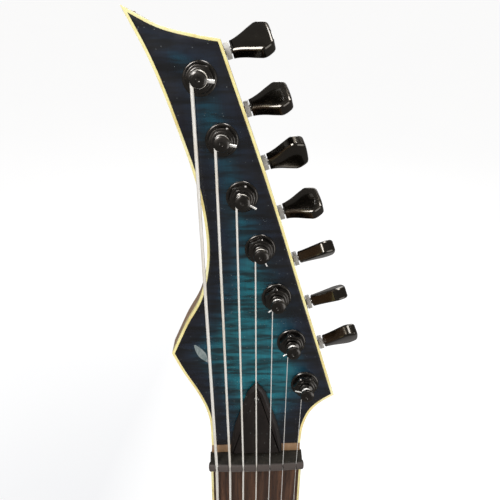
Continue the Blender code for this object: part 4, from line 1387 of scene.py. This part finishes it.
def make_pickup(name, z):
    place = FRONT @ shift(0, z, 0)
    shell = plate(rounded_box(42, 17.8, 2.5), -17, -0.3, soften_top=1.1)
    put(f"{name}_shell", shell, "black_plastic", name, place, replaces=[name])
    for index in range(STRINGS):
        x = string_x(index, z)
        slug = turned(rounded(2.4, -1.5, 0.12, 0.25), 32)
        put(f"{name}_slug_{index + 1}", slug, "dark_steel", name, place @ shift(x, 8.5, 0))
        hexes = [hex_ring(2.4, 2.0, h, 36) for h in (0.55, -1.0)]
        walls = [[(p.x, p.y, h) for p in circle(r, 36)] for r, h in ((2.4, -1.5), (2.4, 0.3), (2.15, 0.55))]
        put(f"{name}_pole_{index + 1}", loft(walls + hexes), "dark_steel", name, place @ shift(x, -8.5, 0))
    window = rounded_box(42.7, 18.5, 3)
    ring = plate(rounded_box(49, 23, 4), -BODY_FRONT + 0.02, -3.7, soften_top=1.1, holes=[window])
    put(f"{name}_surround", ring, "black_plastic", place=place, replaces=[f"{name}_ring"])
    for number, (x, y) in enumerate(((-45.6, -19.6), (45.6, -19.6), (45.6, 19.6), (-45.6, 19.6))):
        make_screw(
            f"{name}_ring_screw_{number + 1}", 1.5, 0.5, place @ shift(x, y, -3.75), shank=7,
            turn_by=30 * number,
        )
    for number, x in enumerate((-45.8, 45.8)):
        make_screw(
            f"{name}_height_screw_{number + 1}", 1.6, 0.6, place @ shift(x, 0, -3.75), shank=9,
            turn_by=15 + 50 * number,
        )


# ---------------------------------------------------------------- controls


def make_knob(name, at):
    """A ribbed metal knob on its shaft, with a white line on its crown."""
    place = FRONT @ shift(*at, 0)
    ribs = [0.2 if k % 3 else 0.0 for k in range(144)]
    levels = (
        (2.9, -21, 0), (2.9, -4.6, 0), (8.8, -4.6, 0), (9.15, -4.3, 0), (9.2, -2.6, 0),
        (8.85, -2.2, 0), (9.0, -1.8, 1), (8.75, 7.0, 1), (8.5, 7.4, 0), (8.55, 7.9, 0),
        (8.3, 8.9, 0), (7.6, 9.6, 0), (6.4, 9.93, 0), (3.0, 10.0, 0), (0.05, 10.0, 0),
    )
    rings = [ring_of([radius + rib * ribbed for rib in ribs], height) for radius, height, ribbed in levels]
    body = f"{name}_knob"
    put(f"{name}_knob_metal", loft(rings), body=body, place=place, sharp=25, replaces=[body])
    mark = plate(moved(rounded_box(0.5, 2.4, 0.45), (0, 4.6)), 9.7, 10.0, soften_top=0.05)
    put(f"{name}_knob_mark", mark, "white_plastic", body, place @ turn(35, "Z"))


def make_switch():
    place = FRONT @ shift(*SWITCH_AT, -14)
    stem = turned([(0.02, -5), (1.3, -5), (1.6, -4.7), (1.6, 16.4), (0.02, 16.4)], 32)
    put("switch_stem", stem, "chrome", "switch_lever", place, replaces=["switch_lever"])
    tip = [
        (1.65, 14.5), (2.2, 14.5), (2.45, 15), (2.7, 17), (3.15, 21), (3.3, 24), (3.1, 26.2),
        (2.4, 27.6), (1.3, 28.3), (0.02, 28.4), (0.02, 16.45), (1.65, 16.45),
    ]
    put("switch_tip", turned(tip, 40), "black_plastic", "switch_lever", place)
    rim = [
        hex_ring(60, r, h, 90)
        for r, h in (
            (5.2, 8.35), (6.3, 8.35), (6.5, 8.6), (6.5, 9.7), (6.1, 10.0), (4.6, 10.0), (4.3, 9.7),
            (4.3, 8.35),
        )
    ]
    ribs = [1 + 0.02 * (k % 2) for k in range(90)]
    ribbed = [[(x * rib, y * rib, h) for rib, (x, y, h) in zip(ribs, ring)] for ring in rim]
    put("switch_nut", loft(ribbed, loop=True), place=place, sharp=20)


def make_jack():
    place = along((1, 0, 0), JACK_AT)
    profile = [
        (3.4, 1.1), (3.4, -34), (5.8, -34), (7.8, -28), (7.8, -2.75), (10.8, -2.75), (11.0, -2.5),
        (11.0, 0.3), (10.7, 0.9), (10.0, 1.3), (6.6, 1.4), (6.2, 1.1), (5.0, 1.1), (4.8, 1.4),
        (3.7, 1.4),
    ]
    put("jack_barrel", turned(profile, 64, loop=True), place=place, replaces=["output_jack"])


def dress_kept_nodes():
    """Pieces that stay as the design has them get their finished materials."""
    kept = {
        "truss_rod": "steel",
        "truss_rod_nut": "dark_steel",
        "volume_pot": "steel",
        "tone_pot": "steel",
        "switch_body": "black_metal",
    }
    for name, material in kept.items():
        frame["nodes"][name].material_slots[0].material = MATERIALS[material]


# ---------------------------------------------------------------- camera, lights and floor


def make_camera():
    """The photograph's view: from just in front of the headstock's tip, looking down the face."""
    data = bpy.data.cameras.new("camera")
    data.lens, data.sensor_width = 35.7, 36.0
    data.clip_start, data.clip_end = 0.01, 200
    camera = shown("camera", data)
    ahead = Vector((0.030, -0.360, -0.932)).normalized()
    up = Vector((0.014, 0.933, -0.360))
    right = ahead.cross(up).normalized()
    spot = HEAD @ frame_of(right, right.cross(ahead), -ahead, Vector((-9.6, 189.7, 206.8)))
    spot.translation *= MM
    camera.matrix_world = spot
    bpy.context.scene.camera = camera


def area_light(name, place, aim, size, power):
    data = bpy.data.lights.new(name, "AREA")
    data.shape, data.size, data.size_y = "RECTANGLE", *size
    data.energy = power
    light = shown(name, data)
    light.matrix_world = along(Vector(place) - Vector(aim), place)


def make_stage():
    """A pale floor that runs out of sight, three soft lights and an even sky. The floor glows, and its glow
    dims on the left near the guitar as a painted shadow.
    """
    mesh = bpy.data.meshes.new("floor")
    bm = bmesh.new()
    bmesh.ops.create_circle(bm, cap_ends=True, segments=64, radius=60)
    bm.transform(shift(0, 0, FLOOR_Z))
    bm.to_mesh(mesh)
    bm.free()
    floor = shown("floor", mesh)
    paint = Paint("floor_paint", Roughness=0.8, Emission_Strength=0.90)
    drift = paint.noise(paint.even(0.002), 3)
    paint.colour(paint.mix(drift, (0.24, 0.24, 0.245), (0.28, 0.28, 0.28)))
    # Painted shadow: the floor's glow falls to grey on its left side within about 2.6 m of the guitar, and
    # stays full to the right and further away.
    across = paint.add("SeparateXYZ", Vector=paint.where)
    away = paint.add("VectorMath")
    away.operation = "LENGTH"
    paint.feed(away.inputs[0], paint.where)
    far = paint.between(away.outputs["Value"], 0.9, 2.6)
    side = paint.maths("MAXIMUM", paint.between(across.outputs["X"], -0.75, 0.05), far)
    paint.feed(paint.shader.inputs["Emission Color"], paint.mix(side, (0.66, 0.67, 0.69), (1.0, 1.0, 1.0)))
    mesh.materials.append(paint.material)
    floor.visible_glossy = False
    world = bpy.data.worlds.new("world")
    world.use_nodes = True
    tree = world.node_tree
    background = tree.nodes["Background"]
    background.inputs["Color"].default_value = (0.97, 0.975, 0.98, 1)
    sky = tree.nodes.new("ShaderNodeBackground")
    sky.inputs["Color"].default_value = (0.88, 0.84, 0.80, 1)
    sky.inputs["Strength"].default_value = 0.20
    path = tree.nodes.new("ShaderNodeLightPath")
    blend = tree.nodes.new("ShaderNodeMixShader")
    tree.links.new(path.outputs["Is Camera Ray"], blend.inputs[0])
    tree.links.new(sky.outputs[0], blend.inputs[1])
    tree.links.new(background.outputs[0], blend.inputs[2])
    tree.links.new(blend.outputs[0], tree.nodes["World Output"].inputs["Surface"])
    bpy.context.scene.world = world
    area_light("key", (-1.1, -1.3, 1.9), (0, 0, 0.0), (0.9, 0.9), 44)
    area_light("top", (0.5, 0.25, 1.9), (0, 0, 0.1), (1.2, 0.5), 22)
    area_light("fill", (1.7, -1.6, -0.1), (0, 0, -0.4), (1.4, 1.6), 14)
    area_light("back", (0.6, 2.2, 1.2), (0, 0, -0.3), (1.6, 1.6), 26)
    view = bpy.context.scene.view_settings
    view.view_transform, view.look = "Standard", "None"


def main():
    make_camera()
    make_stage()
    make_headstock()
    make_neck()
    make_fingerboard()
    make_nut()
    make_truss_cover()
    for index in range(STRINGS):
        make_tuner(index)
        make_string(index)
    make_body_top()
    make_body_back()
    make_back_hardware()
    make_bridge()
    make_pickup("neck_pickup", NECK_PICKUP_Z)
    make_pickup("bridge_pickup", BRIDGE_PICKUP_Z)
    make_knob("volume", VOLUME_AT)
    make_knob("tone", TONE_AT)
    make_switch()
    make_jack()
    dress_kept_nodes()


main()
